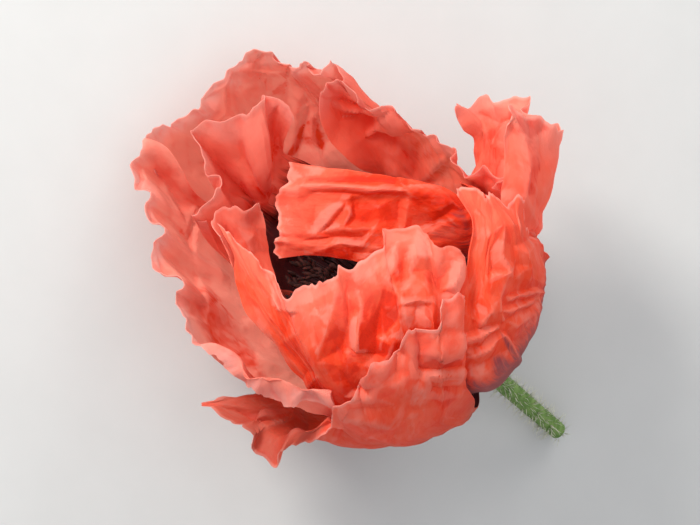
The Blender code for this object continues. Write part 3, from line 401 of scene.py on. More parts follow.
# Fold lines of single petals, read the same way
PETAL_LINES = {
    "inner_left": (
        ((-44.5, 32.5, 0.6), (-41, 36.5, 0.5), (-36, 38.8, 0.4), (-29.5, 40, 0.7)),
        ((-27.8, 39.5, 1.3), (-27.7, 30, 1.6), (-27.6, 18.6, 1.3)),
        ((-25.9, 38, -0.4), (-25.4, 30, -0.9), (-25.6, 20, -0.8)),
        (
            (-28.5, 44.1, 1), (-24.3, 43.6, 1.4), (-20.8, 39.4, 1.4), (-20.8, 37, 0.9),
            (-24.3, 28.7, -0.4),
        ),
        ((-33, 38, 0.2), (-34, 28, 0), (-33, 20, 0.2)),
        ((-40, 33, 0.5), (-39, 26, 0.2), (-37.5, 20, 0.4)),
        ((-43, 28, 1), (-40.5, 23.5, 1.2), (-37, 22.4, 0.7)),
        ((-42.3, 25, -0.2), (-39.8, 21.3, -0.3)),
        ((-44.5, 17.3, 1), (-41, 19.5, 1.1), (-37, 18.6, 0.6)),
    ),
    "inner_back": (
        ((-13, 47.5, 0.8), (-9.5, 48.5, 1.6), (-5.5, 45, 1.8), (-1.5, 41.8, 1.2)),
        ((-12.5, 44, -0.2), (-8, 43.6, -0.4), (-4, 42.6, 0)),
        ((-8, 40.8, 1.3), (-4.3, 41.4, 1.8), (-0.5, 40.4, 1.4)),
        ((-8.5, 39.6, -0.4), (-3.5, 39.8, -0.8), (-0.5, 38.6, -0.6)),
        ((0, 41.6, 1), (3.2, 42.3, 2), (6.4, 40.4, 2), (8.3, 36.9, 1.4)),
        ((0.5, 37, 1.8), (4.8, 36, 2.4), (8, 36.4, 1.6)),
        ((1, 35.2, -0.8), (4.8, 34.2, -1.2), (8.2, 35, -0.8)),
        ((9.5, 35.8, 0.2), (12.2, 35.6, 0.8), (15.4, 34.6, 1), (19.8, 32.4, 1.2), (20, 29, 0.9)),
        ((19.6, 31, 0.9), (13.3, 24.8, 0.4), (10, 22, 0.2)),
        ((11, 33, -0.8), (10.2, 28, -0.8), (9, 24, -0.4)),
        ((17.5, 26.5, -0.7), (15.5, 23, -0.6)),
        ((-10, 34.5, 0.7), (-7.5, 31, 1.4), (-4.2, 28, 1.2), (2, 28.4, 0.8), (6, 26, 0.5)),
        ((-4, 34, 1), (0, 32.5, 0.8), (4, 29.5, 0.4)),
        ((22.3, 25.4, 1.1), (27, 26.6, 1.4), (30.5, 24, 1)),
        ((23, 23, -0.6), (27, 24, -0.8), (29.5, 22.5, -0.4)),
    ),
    "outer_back": (
        ((-19.8, 40.5, 1), (-16.5, 43.2, 1.4), (-14.2, 42, 1.2)),
        ((-19.6, 38.5, 0.9), (-20.5, 34, 0.9), (-24, 29, 0.5)),
        ((-17.5, 40, -0.7), (-18.5, 34, -0.8), (-20, 29, -0.6)),
        ((-15.3, 40.5, 0.9), (-15.6, 35, 1), (-13.5, 29.5, 0.7)),
        ((-13.4, 38, -0.6), (-12.8, 33, -0.6)),
        ((-29.5, 52, 0.6), (-26.9, 55, 1.5), (-24.3, 53.6, 1.3), (-22.6, 50.8, -0.3)),
        ((-22.1, 51.6, -1), (-22.1, 48.4, -1), (-23, 43, -0.7)),
        ((-20.8, 50.5, 0.6), (-18.4, 53.8, 1.6), (-15.2, 53, 1.3), (-14.2, 50.8, 0.2)),
        ((-20.5, 48.5, 0.9), (-18.5, 46.5, 0.9), (-16.5, 43, 0.6)),
        ((-16.5, 49, -0.7), (-14, 46.5, -0.6)),
        ((-35.6, 47.9, 1.3), (-32, 48.4, 0.9), (-29, 49.6, 1.1), (-28.2, 44.7, 0.9), (-29.6, 42, 0.4)),
        ((-35.6, 47.9, 1.3), (-35.4, 44, 1.1), (-35.2, 39, 0.7)),
        ((-33, 45, 0.1), (-31.5, 42, 0)),
        ((-37.2, 47, -0.8), (-37, 40, -0.8)),
        ((-30.5, 54, -0.3), (-31, 50.5, -0.7), (-27, 49.5, -0.8)),
        ((-36, 51.5, 0.6), (-33.5, 53.5, 0.8)),
        ((-44.2, 43.6, 1.3), (-41, 41.2, 1.4), (-41.3, 37, 1)),
        ((-46.3, 41.5, -0.9), (-48, 35, -1.2), (-46.5, 28, -0.9)),
        ((-54, 36.5, 0.9), (-51.5, 35.5, -0.4), (-50.5, 32, -0.6)),
        ((-43.2, 39.5, -0.5), (-43.5, 35, -0.3)),
    ),
    "ear": (
        ((33, 38, 1.26), (33.5, 30, 1.26), (33, 22, 1.26)),
        ((34, 42, 1.15), (37, 40, 1.15), (41, 36, 1.15)),
        ((31, 38, -0.92), (32.5, 38.5, -0.92), (34, 39, -0.92)),
        ((37, 34, -1.03), (38, 27, -1.03), (37, 20, -1.03)),
        ((42, 34, 0.92), (42, 28, 0.92), (40, 20, 0.92)),
        ((25, 41, 0.92), (28, 36, 0.92), (29, 32, 0.92)),
    ),
    "outer_left": (
        ((-58.5, 31, -0.5), (-57.2, 33.5, 0.3), (-50.9, 28.7, 1.3), (-47.5, 24, 1.2), (-44.5, 18, 0.9)),
        ((-58.8, 27, -0.8), (-53, 23.5, -0.8), (-49, 17, -0.8)),
        ((-57, 22, 0.8), (-52, 19, 0.9), (-48, 12, 0.7)),
        ((-56.5, 16.5, -0.9), (-51.5, 13.5, -0.8), (-47, 8, -0.7)),
        ((-54.5, 11, 0.9), (-50, 8.5, 0.9), (-46, 3, 0.8)),
        ((-54.5, 6, -0.8), (-50, 2.5, -0.8), (-45, -3, -0.6)),
        ((-50.5, 0, 0.9), (-46, -4, 0.8), (-42, -8, 0.6)),
        ((-49.5, -5, -0.7), (-44, -9, -0.6)),
        ((-48.8, -11, 0.9), (-43, -12.5, 0.8), (-39.5, -15, 0.5)),
        ((-44, -17, -0.5), (-40, -18.5, -0.5)),
    ),
    "outer_front": (
        ((-42, -31.5, 1.38), (-34, -34, 1.38), (-28, -37, 1.38)),
        ((-33, -40, -1.15), (-27, -38, -1.15), (-21, -36, -1.15)),
        ((-26, -46, 1.38), (-22, -41, 1.38), (-16, -37, 1.38)),
    ),
    "side_fold": (
        ((-38, 14, 0.8), (-36, 8, 0.8), (-34, 2, 0.8)),
        ((-33, 15, -0.69), (-32, 8, -0.69), (-31, 0, -0.69)),
    ),
    "centre_fold": (
        ((-22, 26.5, 0), (-10, 25.8, 0), (5, 24.8, 0), (16, 21.4, 0)),
        ((-19.5, 21.9, 0.9), (-12, 22.1, 1.1), (-5, 21.5, 1), (2, 21.1, 0.8), (7.5, 21, 0.6)),
        ((-17, 23.8, -0.6), (-5, 23.2, -0.7), (5, 22.8, -0.6)),
        ((-16, 20.3, -0.8), (-6, 20, -0.8), (6.6, 19.4, -0.8)),
        (
            (-7.4, 18.2, 0.4), (-10, 16, 0.8), (-12.5, 13, 0.9), (-16, 9.5, 0.6), (-17.8, 12.5, 0.5),
            (-19.5, 16.5, 0.8),
        ),
        ((-15, 17.5, -0.4), (-15.6, 12.4, -0.3)),
        ((-6.5, 15.3, 0.9), (-8, 12.4, 0.5), (-14, 10.2, 0.3)),
        ((-8.6, 15.4, -0.7), (-11.3, 12.3, -0.6)),
        ((-5, 14, -0.6), (-2, 12.8, -0.4)),
        ((8.6, 19.6, 0.6), (7.8, 17, 0.9), (7.4, 14, 0.8), (7.2, 12.3, 0.6)),
        ((5.9, 18, -0.6), (5.6, 13, -0.6)),
        ((0.5, 17, 0.6), (1, 14, 0.3)),
        ((12, 18.4, 0.4), (19, 17.9, 0.6)),
        ((10.5, 15.2, 0.3), (14, 15.6, 0.3)),
        ((11.5, 12, -0.9), (15.5, 13.4, -1), (19.3, 16.3, -0.5)),
        ((14, 10.6, -0.2), (19, 13.4, 0.4), (22, 15.6, 0.2)),
        ((-12, 10.4, 0.3), (-8, 11.3, 0.5), (-1, 11.5, 0.5)),
        ((-23, 12, 0.2), (-22, 8, 0.6)),
        ((-18.5, 8.3, -0.6), (-10, 9.2, -0.7), (-3.6, 9.3, -0.5)),
        (
            (-14, 6.2, 0.9), (-9, 7.8, 1.1), (-5, 7.1, 0.9), (-3.4, 6.8, 0.7), (-1, 10.2, 0.8),
            (1, 6.5, 0.6),
        ),
        ((-5.5, 5.3, -0.7), (0, 5.1, -0.6)),
        ((-24, 3.2, 0), (-18, 4.6, 0), (-12, 3.8, 0), (-6, 3.2, 0)),
    ),
}

# Patches of the front that the light leaves deep (below 0) or pale, read on the picture:
# the tone, how soft the edge is in millimetres, and the corners
FRONT_PATCHES = (
    (-1.8, 0.4, (
        (1.8, -3.3), (5.5, -5.6), (5.9, -7.9), (5.5, -11.1), (3.6, -13.9), (1.8, -15.8), (0.2, -16.2),
        (3.6, -17.6), (4.3, -19.5), (1.8, -20.6), (-1.9, -19.9), (-4.5, -18.1), (-3.8, -15.3),
        (-2.4, -13), (-0.1, -10.2), (1.3, -6.1),
    )),
    (-0.8, 0.6, (
        (-21.8, -16.7), (-20, -15.8), (-16.7, -19.9), (-16, -23.2), (-12.6, -28.7), (-11.2, -29.7),
        (-16.7, -28.3), (-21.4, -21.3), (-24.6, -17.6),
    )),
    (-0.8, 0.5, (
        (-12.1, -20.4), (-10.3, -18.1), (-7.5, -19.5), (-5.2, -19.9), (-1.9, -20.4), (-3.8, -23.6),
        (-5.2, -26.4), (-6.6, -28.3), (-8.4, -29.2), (-9.8, -28.7), (-11.2, -25),
    )),
    (-0.75, 0.7, (
        (-9.8, -13), (-7.5, -13.9), (-6.1, -17.6), (-5.2, -19.9), (-10.3, -19.5), (-13.3, -19.9),
        (-12.6, -15.8),
    )),
    (-0.6, 0.6, (
        (-7.7, -1.4), (-5.6, -0.5), (-6.1, -5.6), (-5.2, -8.4), (-5.6, -12.1), (-7.9, -13.9),
        (-8.4, -7.9),
    )),
    (-0.4, 0.5, (
        (-4.2, -3.3), (-0.1, -3.3), (1.3, -3.7), (-0.1, -9.8), (-2.9, -13.9), (-4.2, -15.8),
        (-4.5, -12.1), (-2.9, -7.4),
    )),
    (-0.7, 0.6, (
        (4.1, 0.9), (5.5, 4.1), (9.2, 1.8), (13.8, 0.4), (17.5, 2.7), (18.4, 1.4), (17.5, -3.3),
        (13.8, -2.8), (9.2, -0.5), (6.4, -1.9), (3.6, -2.8),
    )),
    (-0.8, 0.5, (
        (9.2, -13.9), (13.8, -13.9), (14.3, -16.7), (13.8, -19.5), (20.3, -19.9), (21.7, -22.3),
        (20.3, -23.2), (15.7, -24.1), (10.1, -24.6), (9.6, -19.5),
    )),
    (-0.8, 0.5, ((12.4, -28.7), (21.2, -28.3), (20.3, -31), (15.7, -33), (14, -31))),
    (-0.7, 0.4, ((-0.1, -25), (0.2, -27.4), (-0.8, -29.2), (-4.2, -29.2), (-1.9, -27.4))),
    (0.7, 0.6, (
        (-26, -1.9), (-22.3, -5.6), (-16.7, -2.8), (-10.3, -1), (-9.3, -3.3), (-14.9, -6.5),
        (-19.5, -8.4), (-20, -13.9), (-23.2, -8.8), (-26, -7.9),
    )),
    (0.35, 0.6, (
        (-19, -9.8), (-9.8, -6.5), (-10.3, -11.1), (-12.1, -15.8), (-14, -19.9), (-20, -14.9),
    )),
    (0.5, 0.5, ((-6, 2.7), (0, 3.7), (0.4, -2.8), (-5.6, -1.9))),
    (0.5, 0.3, ((-5.2, -3.3), (-2.9, -5.6), (-3.8, -8.8))),
    (0.6, 0.4, ((-6, -10.2), (-4.7, -11), (-3.8, -14), (-5, -18.7), (-7, -18.5))),
    (0.3, 0.6, (
        (1.3, 11), (10.1, 11.3), (12.9, 8.8), (13.8, 3.7), (10.1, 4.1), (5.9, 3.7), (3.6, -1.9),
        (0.9, -3.3), (1.3, 2.7), (1.8, 6),
    )),
    (0.6, 0.5, ((10.1, 11), (12.9, 9.2), (14.7, 5), (10.6, 4.1), (9.6, 7.4))),
    (1.1, 0.5, ((18.9, 3.2), (22.1, 1.8), (21.9, -1.9), (20.3, -5.1), (17.5, -6), (18, -1.9))),
    (0.45, 0.4, (
        (5.9, -5.6), (17.5, -5.1), (19.8, -6.5), (13.8, -7), (13.8, -10.2), (13.4, -13.2), (9.6, -13),
        (6.4, -11.1), (5.9, -7.9),
    )),
    (0.5, 0.4, ((0.4, -15.8), (6.4, -11.1), (10.1, -13), (6.9, -17.4), (1.8, -16.7))),
    (0.35, 0.5, ((13.8, -7.9), (20.3, -6), (21.2, -12.1), (15.7, -13.9), (14.7, -20.4), (13.8, -10.2))),
    (0.5, 0.4, ((11, -25), (21.7, -23.6), (21.2, -27.8), (13.4, -28.3))),
    (0.5, 0.4, ((6.4, -27.8), (9.2, -30.6), (11, -32.4), (12.4, -29.7), (10.6, -26))),
    (0.6, 0.3, ((-0.1, -28.3), (1.8, -25), (2.2, -27.4), (0.8, -29.7))),
    (0.6, 0.4, ((-7.5, -35.2), (-4.7, -34.8), (4.1, -36.9), (-3, -36.9))),
    (0.5, 0.4, ((-5.6, -30.1), (-0.5, -29.4), (-1, -31), (-5.2, -31))),
)

# The same for single petals
PETAL_PATCHES = {
    "inner_left": (
        (-1.0, 1.6, ((-34, 24), (-28, 26), (-27, 14), (-34, 14))),
        (-0.9, 0.4, ((-27.8, 43), (-23, 43), (-20.5, 38), (-24, 30), (-27.6, 24))),
        (0.5, 1.2, ((-41, 35), (-35, 40), (-28.2, 41), (-28.2, 31), (-36, 31))),
        (0.6, 0.5, ((-46.5, 35), (-43.5, 38.5), (-41, 36), (-44, 33.5), (-45.5, 31))),
        (0.8, 0.4, (
            (-43.5, 30.5), (-42.5, 26), (-40.5, 23.5), (-38, 22), (-36, 22.5), (-37, 27), (-40, 30),
        )),
        (0.6, 0.4, (
            (-28.3, 43.8), (-24.5, 44), (-20.5, 40.5), (-20, 38), (-21.5, 38.6), (-24.6, 42),
            (-28, 42.4),
        )),
    ),
    "outer_back": (
        (0.9, 0.8, ((-37, 51), (-31, 56), (-25, 56), (-22, 51), (-27, 50), (-36, 49))),
        (0.5, 0.6, ((-36, 47.5), (-30.5, 49.5), (-29, 46), (-29.5, 42), (-35, 41))),
        (-0.5, 0.5, ((-27, 50), (-22, 50.5), (-21, 44), (-26, 45))),
        (0.6, 0.4, ((-20.5, 54), (-18.5, 54.8), (-15, 53.5), (-14.5, 50.5), (-17, 50.5), (-19, 52))),
        (-0.7, 0.6, ((-20, 46), (-15, 45), (-14, 41), (-16.5, 43.6), (-20.3, 40))),
        (0.6, 0.35, ((-19.8, 39.8), (-17, 42.9), (-14.8, 42.3), (-15.5, 40.6), (-18.5, 36.5))),
        (-1.0, 0.5, (
            (-19, 37), (-15.5, 41), (-13.5, 34), (-12, 31.5), (-15, 31), (-20, 30), (-24, 27.5),
            (-22, 31),
        )),
        (0.5, 0.4, ((-20, 30.5), (-16.5, 32.5), (-14, 32), (-11.5, 28), (-20, 27.2))),
    ),
    "inner_back": (
        (-0.6, 0.7, ((5, 33.5), (12, 33), (17, 31), (17.5, 25), (14, 22.5), (9, 24.5), (7.5, 28))),
        (0.5, 0.4, ((18.2, 33), (20.2, 32.6), (20.2, 28), (22, 25), (20, 24.8), (18.3, 29))),
        (0.5, 0.5, ((0, 41.5), (4, 42.3), (8, 38.5), (8.4, 36.6), (4, 36.2), (1, 38.5))),
        (-0.1, 0.6, ((-10, 39), (-1, 37.5), (3, 34), (3, 29), (-5, 31), (-9, 35))),
        (0.5, 0.4, ((22.5, 24.5), (27, 26.3), (31, 24.5), (30, 21.8), (26, 22.3))),
        (0.6, 0.3, ((-8.5, 41.4), (-4.3, 42.2), (-0.5, 41.2), (-1, 40.3), (-4.4, 41), (-8, 40.4))),
    ),
    "ear": (
        (1.3, 0.4, (
            (34, 42), (36, 40.5), (38, 40), (43, 38), (44, 36), (40, 34), (38.5, 34), (35.5, 35.3),
            (35, 38),
        )),
        (0.4, 0.8, ((33.5, 34), (41, 33.5), (42, 26), (38, 20), (33, 22), (33.5, 30))),
        (-0.8, 0.5, ((25.5, 35), (33, 38), (33.5, 30), (32, 22), (27, 26), (25.5, 30))),
        (-0.5, 0.4, ((34.6, 37.5), (35, 41), (34, 41.8), (32.5, 39.5), (33.5, 36))),
    ),
    "centre_fold": (
        (-1.0, 0.8, (
            (8.8, 21.5), (12, 21), (20, 19.5), (24, 19), (22, 15), (14, 13), (17, 17), (9, 17.5),
        )),
        (-0.8, 0.3, ((-17, 24.6), (-5, 24.4), (8, 23.4), (8, 21.9), (-5, 22.2), (-18, 22.4))),
        (0.8, 0.5, ((-22.5, 27), (-12, 26.6), (-14, 24.8), (-19.5, 24), (-23, 21))),
        (0.8, 0.5, ((-17, 10.5), (-14, 15.5), (-9.5, 18.5), (-8, 17.3), (-11, 14.5), (-14, 9.5))),
        (-0.7, 0.6, ((-10, 13.5), (-5, 18), (2, 19), (7, 18.5), (7.2, 14), (0, 12.5), (-6, 11.5))),
        (0.9, 0.3, ((-14, 5.8), (-9, 7.7), (-5, 6.9), (-3, 4.4), (1, 4), (1, 6.6), (-2, 8), (-7, 8.5))),
        (-0.6, 0.5, ((-21, 4.5), (-13, 5), (-9, 6.6), (-5, 6), (-5, 3.8), (-14, 4))),
    ),
    "outer_left": (
        (-0.9, 1.6, ((-48, -1), (-41, -4), (-33, -16), (-26, -27), (-31, -27), (-42, -17), (-49, -8))),
        (1.0, 1.0, ((-60, 32), (-57, 35.5), (-54, 33), (-50, 26), (-54, 22), (-60, 27))),
        (-0.8, 0.8, ((-48, 27), (-44, 29), (-40, 23.5), (-44, 19), (-46.5, 21))),
        (0.5, 0.8, ((-56, 20), (-52, 21), (-47, 15), (-50, 10), (-56, 13))),
        (-0.7, 0.6, ((-52, 13.5), (-48, 13), (-44, 8), (-47, 7), (-52, 11))),
        (0.5, 0.6, ((-55, 9), (-50, 11), (-46, 5), (-50, 3), (-54, 5))),
    ),
    "side_fold": (
        (1.0, 0.5, ((-40, 14.5), (-37, 12), (-34, 6), (-31, 4), (-35, 3), (-39, 9))),
        (-0.4, 0.8, ((-36, 14), (-30, 15), (-28, 6), (-32, 6))),
    ),
}

# Where the dark base shows from outside, with painted shade in creases, crevices and where a petal
# turns into shadow: the petal, then the amount, edge and corners as above
DARK_BASE_AND_SHADE = {
    "outer_right": (
        (0.9, 0.3, ((31.3, -14.6), (33.5, -17.2), (35.9, -21.3), (34.7, -21.7), (32.5, -17.8))),
        (0.8, 0.9, ((29.2, -20.8), (31.3, -20.4), (34.5, -22.5), (33, -25), (30, -27.5), (29.3, -24))),
        (0.9, 0.3, ((22, -25.2), (23.2, -26.5), (24.6, -30.5), (23.6, -32), (22.2, -29))),
        (0.85, 0.7, ((24, -26.5), (28, -27.5), (27, -31), (24.5, -30.5))),
        (0.35, 1.2, ((36.5, -12.5), (40, -10), (39, -15), (36.4, -19.5), (35, -17.5))),
    ),
    "centre_fold": (
        (0.3, 0.6, ((14, 9), (15, 11), (19.5, 13.3), (22.5, 11.5), (23.5, 9), (18, 8))),
        (0.6, 0.5, ((18.8, 15.2), (21.5, 16.4), (23.8, 11), (22.6, 10.4), (21.4, 13))),
    ),
}

# Every net of fold lines ends in a flat square that reaches this far from the bowl's centre
NET_EDGE = 80.0

# Petals whose inner side faces the viewer
SEEN_INSIDE = ("inner_left", "inner_back", "outer_back", "outer_left", "ear")

# Painted light: facets that face this way on the picture are painted paler and those facing away
# deeper, fully at this slope, by these amounts on single petals and on the front
LIT_SIDE = (-0.5, 0.87)
FULL_SLOPE = 0.3
LIT_SHARE = 0.5
FRONT_LIT = 0.3

# Petals whose painted light and tones are weaker, and the range of both together
TONE_SHARE = {"outer_left": 0.5, "outer_back": 0.7, "inner_back": 0.7, "inner_left": 0.7}
TONES = (-1.6, 1.3)

# Pleats all round, the same through every layer: how many waves, their phase and their height in
# millimetres. They grow between two angles from the base.
PLEATS = ((9, 0.6, 0.5), (17, 2.1, 0.4))
PLEAT_FROM = 40.0
PLEAT_FULL = 85.0

# Two low outward bulges that the bowl rests on: azimuth and angle from the base, then how deep
# and how wide they are
REST_BULGES = ((160, 72), (199, 72))
BULGE_DEPTH = 3.9
BULGE_WIDTH = 13.0

# Petals stay this far above the table
TABLE_CLEAR = 0.03

# Creases sharper than this stay crisp
SHARP_ANGLE = math.radians(24)

# Flat facets through all layers: their width round the bowl and length up it in degrees, their
# height in millimetres and the seed. Then the share of their height that is left on the front,
# the tones they bring, the share of those that the front loses, and where they fade out towards
# the mouth and are whole, in degrees from the base.
SHARED_FACETS = ((12.0, 20.0, 1.0, 31), (6.4, 11.0, 0.5, 32))
FRONT_FACETS = 0.25
SHARED_TONES = (0.3, 0.25)
FRONT_TONE_LOSS = 0.7
MOUTH_FADE = (150.0, 115.0)

# Each petal's own facets: width, length and height in millimetres, the tones they bring, and
# petals on which they are higher. Facets draw their tones from one list.
OWN_FACETS = ((4.4, 7.0, 0.26), (2.2, 3.4, 0.15))
OWN_TONES = (0.35, 0.3)
OWN_STRENGTH = {
    "centre_fold": 1.4, "ear": 1.8, "outer_back": 1.5, "outer_left": 1.3, "inner_back": 1.6,
}
TONE_SEED = 8
LISTED_TONES = 4000

# How facets are laid out: share of a step that a corner strays, odds of a turned fold, and
# least share of the height
STRAY = 0.32
TURNED = 0.25
LEAST_FOLD = 0.3

# A petal whose dark base reaches less far by some degrees, growing between two azimuths
BLOTCH_TILT = {"outer_right": (4.0, 34.0, 8.0)}

# Petals whose fold lines are lower, and round places that lie in shade: x, y, radius and amount,
# whole within this share of the radius
SHADE_CORE = 0.6
LINE_HEIGHT = {"centre_fold": 0.65}
SHADED = {"outer_front": ((-28.0, -36.0, 17.0, 0.55), (-38.0, -34.0, 10.0, 0.3))}

# Rims: ruffle height, how far down it reaches, and the jags of the edge. Their waves are pairs of
# a wavelength and a share.
RUFFLE = 0.9
RUFFLED = {"outer_back": 1.7, "outer_left": 1.5, "inner_back": 2.0, "ear": 1.4}
RUFFLE_REACH = 8.0
RUFFLE_WAVES = ((3.4, 1.0), (1.7, 0.6))
RIM_JAG = 0.6
JAG_REACH = 5.0
JAG_WAVES = ((0.9, 1.0), (2.6, 0.8))

# How far the knots of a wave stray, as shares of its wavelength
KNOT_STRAY = 0.25
KNOT_DRIFT = 0.2

# Share of a petal's length, from the claw, in which its own relief grows
RELIEF_GROWS = 0.35

# Mesh steps over which a crest is told from a dip
CREST_REACH = 2

# Stamens: how many, in how many rows, and how far their tips and their lean scatter
STAMENS = 640
STAMEN_ROWS = 5
STAMEN_SEED = 5
TIP_SCATTER = 0.6
LEAN_SCATTER = 0.05
OUTWARD_CURVE = 0.8

# The ring that they stand on, and their filaments
RING_RADIUS = (4.9, 7.1)
RING_HEIGHT = -32.2
FILAMENT_SIDES = 5
FILAMENT_STEPS = 8
FILAMENT_RADIUS = 0.24
FILAMENT_TAPER = (1.25, 0.7)

# Their anthers: the share below the filament's tip, how far the directions scatter, and rings at
# shares of the length, with shares of the radius
ANTHER_LENGTH = 2.8
ANTHER_RADIUS = 0.55
ANTHER_SIDES = 7
ANTHER_BELOW = 0.35
ANTHER_SCATTER = 0.35
ANTHER_RINGS = ((0, 0.25), (0.1, 0.75), (0.3, 1.0), (0.6, 0.95), (0.85, 0.7), (1, 0.2))

# The tips' distance from the axis, then their height: each in the shelter of the centre fold,
# what it gains in the open, and what it gains or loses towards or away from the far side
INNER_TIPS = ((11.6, 5.4, 2.5), (-9.0, 1.0, 4.0))
OUTER_TIPS = ((13.0, 10.5, 5.0), (-12.0, 5.0, 6.0))
FOLD_AZIMUTH = 78.0
SHELTER_ENDS = (28.0, 50.0)
FAR_AZIMUTH = 190.0

# Seed head: heights on the axis and radii of its body, of its disc and of the rays on the disc
OVARY_PROFILE = (
    (-32.5, 3.6), (-31, 3.9), (-28.5, 5.3), (-25, 6.7), (-21, 7.4), (-17.5, 7.2), (-15.6, 6.5),
    (-15.2, 6.0),
)
DISC_PROFILE = (
    (-15.15, 5.9), (-15.0, 7.4), (-14.7, 8.2), (-14.2, 8.8), (-13.6, 8.4), (-13.1, 6.6),
    (-12.6, 4.2), (-12.4, 1.4),
)
RAY_PROFILE = ((-12.35, 0.4), (-12.6, 3.2), (-13.0, 6.0), (-13.7, 8.4), (-14.3, 9.2))
SEED_SIDES = 156
RIBBING_DEPTH = 0.025

# Rays: how many, how deep they scallop the disc, less on its top, and how they stand on it
RAYS = 13
RAY_DEPTH = 0.09
DISC_TOP_FROM = 0.7
DISC_TOP_SHARE = 0.6
RAY_LIFT = 0.1
RAY_RADII = (0.5, 0.62, 0.7, 0.6, 0.3)
RAY_SIDES = 8

# Stem bristles: they grow between a margin above the cut and the stem's top. Their root lies under
# the skin, their rise along the axis has a mean and a scatter, and their three rings lie at shares
# of the length, with shares of the radius.
STEM_TOP = -46.0
STEM_RADIUS = 2.35
FOOT_MARGIN = 1.0
BRISTLES = 420
BRISTLE_SEED = 23
BRISTLE_SIDES = 4
BRISTLE_LENGTH = (1.6, 3.4)
BRISTLE_RADIUS = 0.07
BRISTLE_ROOT = 0.1
BRISTLE_RISE = (0.15, 0.2)
BRISTLE_CURL = 0.25
BRISTLE_RINGS = ((0, 1.6), (0.45, 1.0), (1, 0.25))
BRISTLE_CLEAR = 0.4

# Petal colours. The deep and the pale one also serve as painted shade and painted highlight; the
# darkest one and the shade colour are painted shade only, the rim's edge colour a painted highlight
CORAL = (0.93, 0.08, 0.02)
LIGHT_CORAL = (0.94, 0.135, 0.06)
PALE = (0.95, 0.31, 0.225)
DEEP = (0.88, 0.034, 0.002)
DEEPEST_SHADE = (0.55, 0.012, 0.001)
BLUSH = (0.96, 0.47, 0.36)
MAUVE = (0.78, 0.42, 0.41)
RIM_HIGHLIGHT = (0.95, 0.45, 0.37)
BLOTCH = (0.022, 0.006, 0.011)
SEEN_THROUGH = (0.2, 0.065, 0.09)
SHADE = (0.16, 0.03, 0.02)

# Each petal's looks: how far its dark base reaches inside and outside, in degrees from the base,
# how strong its painted sheen is near the rim, how pale it is all over, the share of light let
# through, and how far its inner side turns to blush and its rim to mauve
PETAL_LOOKS = {
    "inner_left": (100.0, 30.0, 0.75, 0.5, 0.6, 0.6),
    "inner_back": (50.0, 30.0, 0.55, 0.3, 0.66, 0.5),
    "ear": (50.0, 30.0, 0.75, 0.3, 0.5, 0.3),
    "outer_right": (58.0, 66.0, 0.2, 0.0, 0.42, 0.0),
    "outer_front": (54.0, 34.0, 0.3, 0.05, 0.42, 0.0),
    "outer_left": (56.0, 34.0, 1.0, 0.85, 0.6, 0.85),
    "outer_back": (60.0, 40.0, 1.0, 0.8, 0.62, 0.9),
    "inner_front": (60.0, 40.0, 0.35, 0.0, 0.42, 0.0),
    "side_fold": (60.0, 40.0, 0.75, 0.35, 0.46, 0.0),
    "centre_fold": (60.0, 70.0, 0.3, 0.0, 0.46, 0.0),
}
FIRST_SEED = 100

# Noise on a petal: marks per millimetre across and along it, detail and roughness. Each petal
# starts elsewhere in it, by these steps.
PETAL_NOISE = {
    "veins": (1.3, 0.06, 3.0, 0.6),
    "patches": (0.12, 0.07, 4.0, 0.6),
    "crepe": (0.9, 0.4, 5.0, 0.65),
}
NOISE_STEP = 37.0
NOISE_SLANT = 0.37

# Flat cells on a petal, per millimetre across and along it, and the noise that wrinkles them
CELLS = (0.42, 0.27)
CELL_WRINKLE = 0.9
WRINKLE_SCALE = 0.35

# Colours laid over the coral, first under and then over the pale rim: what steers each, where it
# starts and where it is full, its full share and the colour. Cells and veins are the petal's own
# marks; the rest paint shade and highlights: as the painted light and tone steer them, darkest
# where the painted shade is deepest, and as the crests steer them, shade in folds, highlights on top
CORAL_STEPS = (0.38, 0.66)
UNDER_RIM = (
    ("facet", 0.45, 0.1, 0.25, DEEP),
    ("light_and_tone", -0.05, -1.0, 0.9, DEEP),
    ("veins", 0.5, 0.72, 0.45, DEEP),
)
OVER_RIM = (
    ("light_and_tone", 0.05, 1.1, 0.8, PALE),
    ("crest", -0.03, -0.22, 0.3, DEEP),
    ("light_and_tone", -0.6, -1.5, 0.5, DEEPEST_SHADE),
    ("crest", 0.04, 0.22, 0.4, PALE),
    ("facet", 0.6, 0.95, 0.12, PALE),
)

# The rim's colours, a painted sheen that pales the petal towards the rim, mauve and a thin painted
# highlight on the edge: how ragged they end, and from where to where they grow, in millimetres from
# the rim, or in painted light and tone for petals that are pale all over
RIM_RAGGED = 14.0
PALE_REACH = (17.0, 0.0)
PALE_TONES = (-1.3, -0.3)
MAUVE_REACH = (8.0, -2.0)
MAUVE_SHARE = 0.6
EDGE_REACH = (1.1, 0.3)
EDGE_PATCHES = (0.3, 0.55)
EDGE_SHARE = 0.6

# The dark base: degrees by which veins and patches make its edge ragged, half the width of the
# edge, its strength outside and what it gains inside, and the streaks of the drawn patches of dark
# base and painted shade
BASE_RAGGED = (("veins", 26.0), ("patches", 18.0))
BASE_EDGE = 7.0
BASE_OUTSIDE = 0.72
BASE_GAIN = 0.26
STREAKS = (0.35, 0.6)
STREAK_SHARE = 0.6

# Surface: the middle of a noise, which is spread over a range, and bump as strength and metres
NOISE_MIDDLE = (0.3, 0.7)
PETAL_ROUGHNESS = (0.52, 0.74)
VEIN_RELIEF = 0.25
PETAL_BUMP = (0.45, 0.0005)
PETAL_SURFACE = {
    "Specular IOR Level": 0.3,
    "Sheen Weight": 0.1,
    "Sheen Roughness": 0.45,
    "Sheen Tint": (1.0, 0.72, 0.68, 1),
}

# Light passes both walls of a petal and takes the colour of each, so each has its square root
ONE_WALL = 0.5

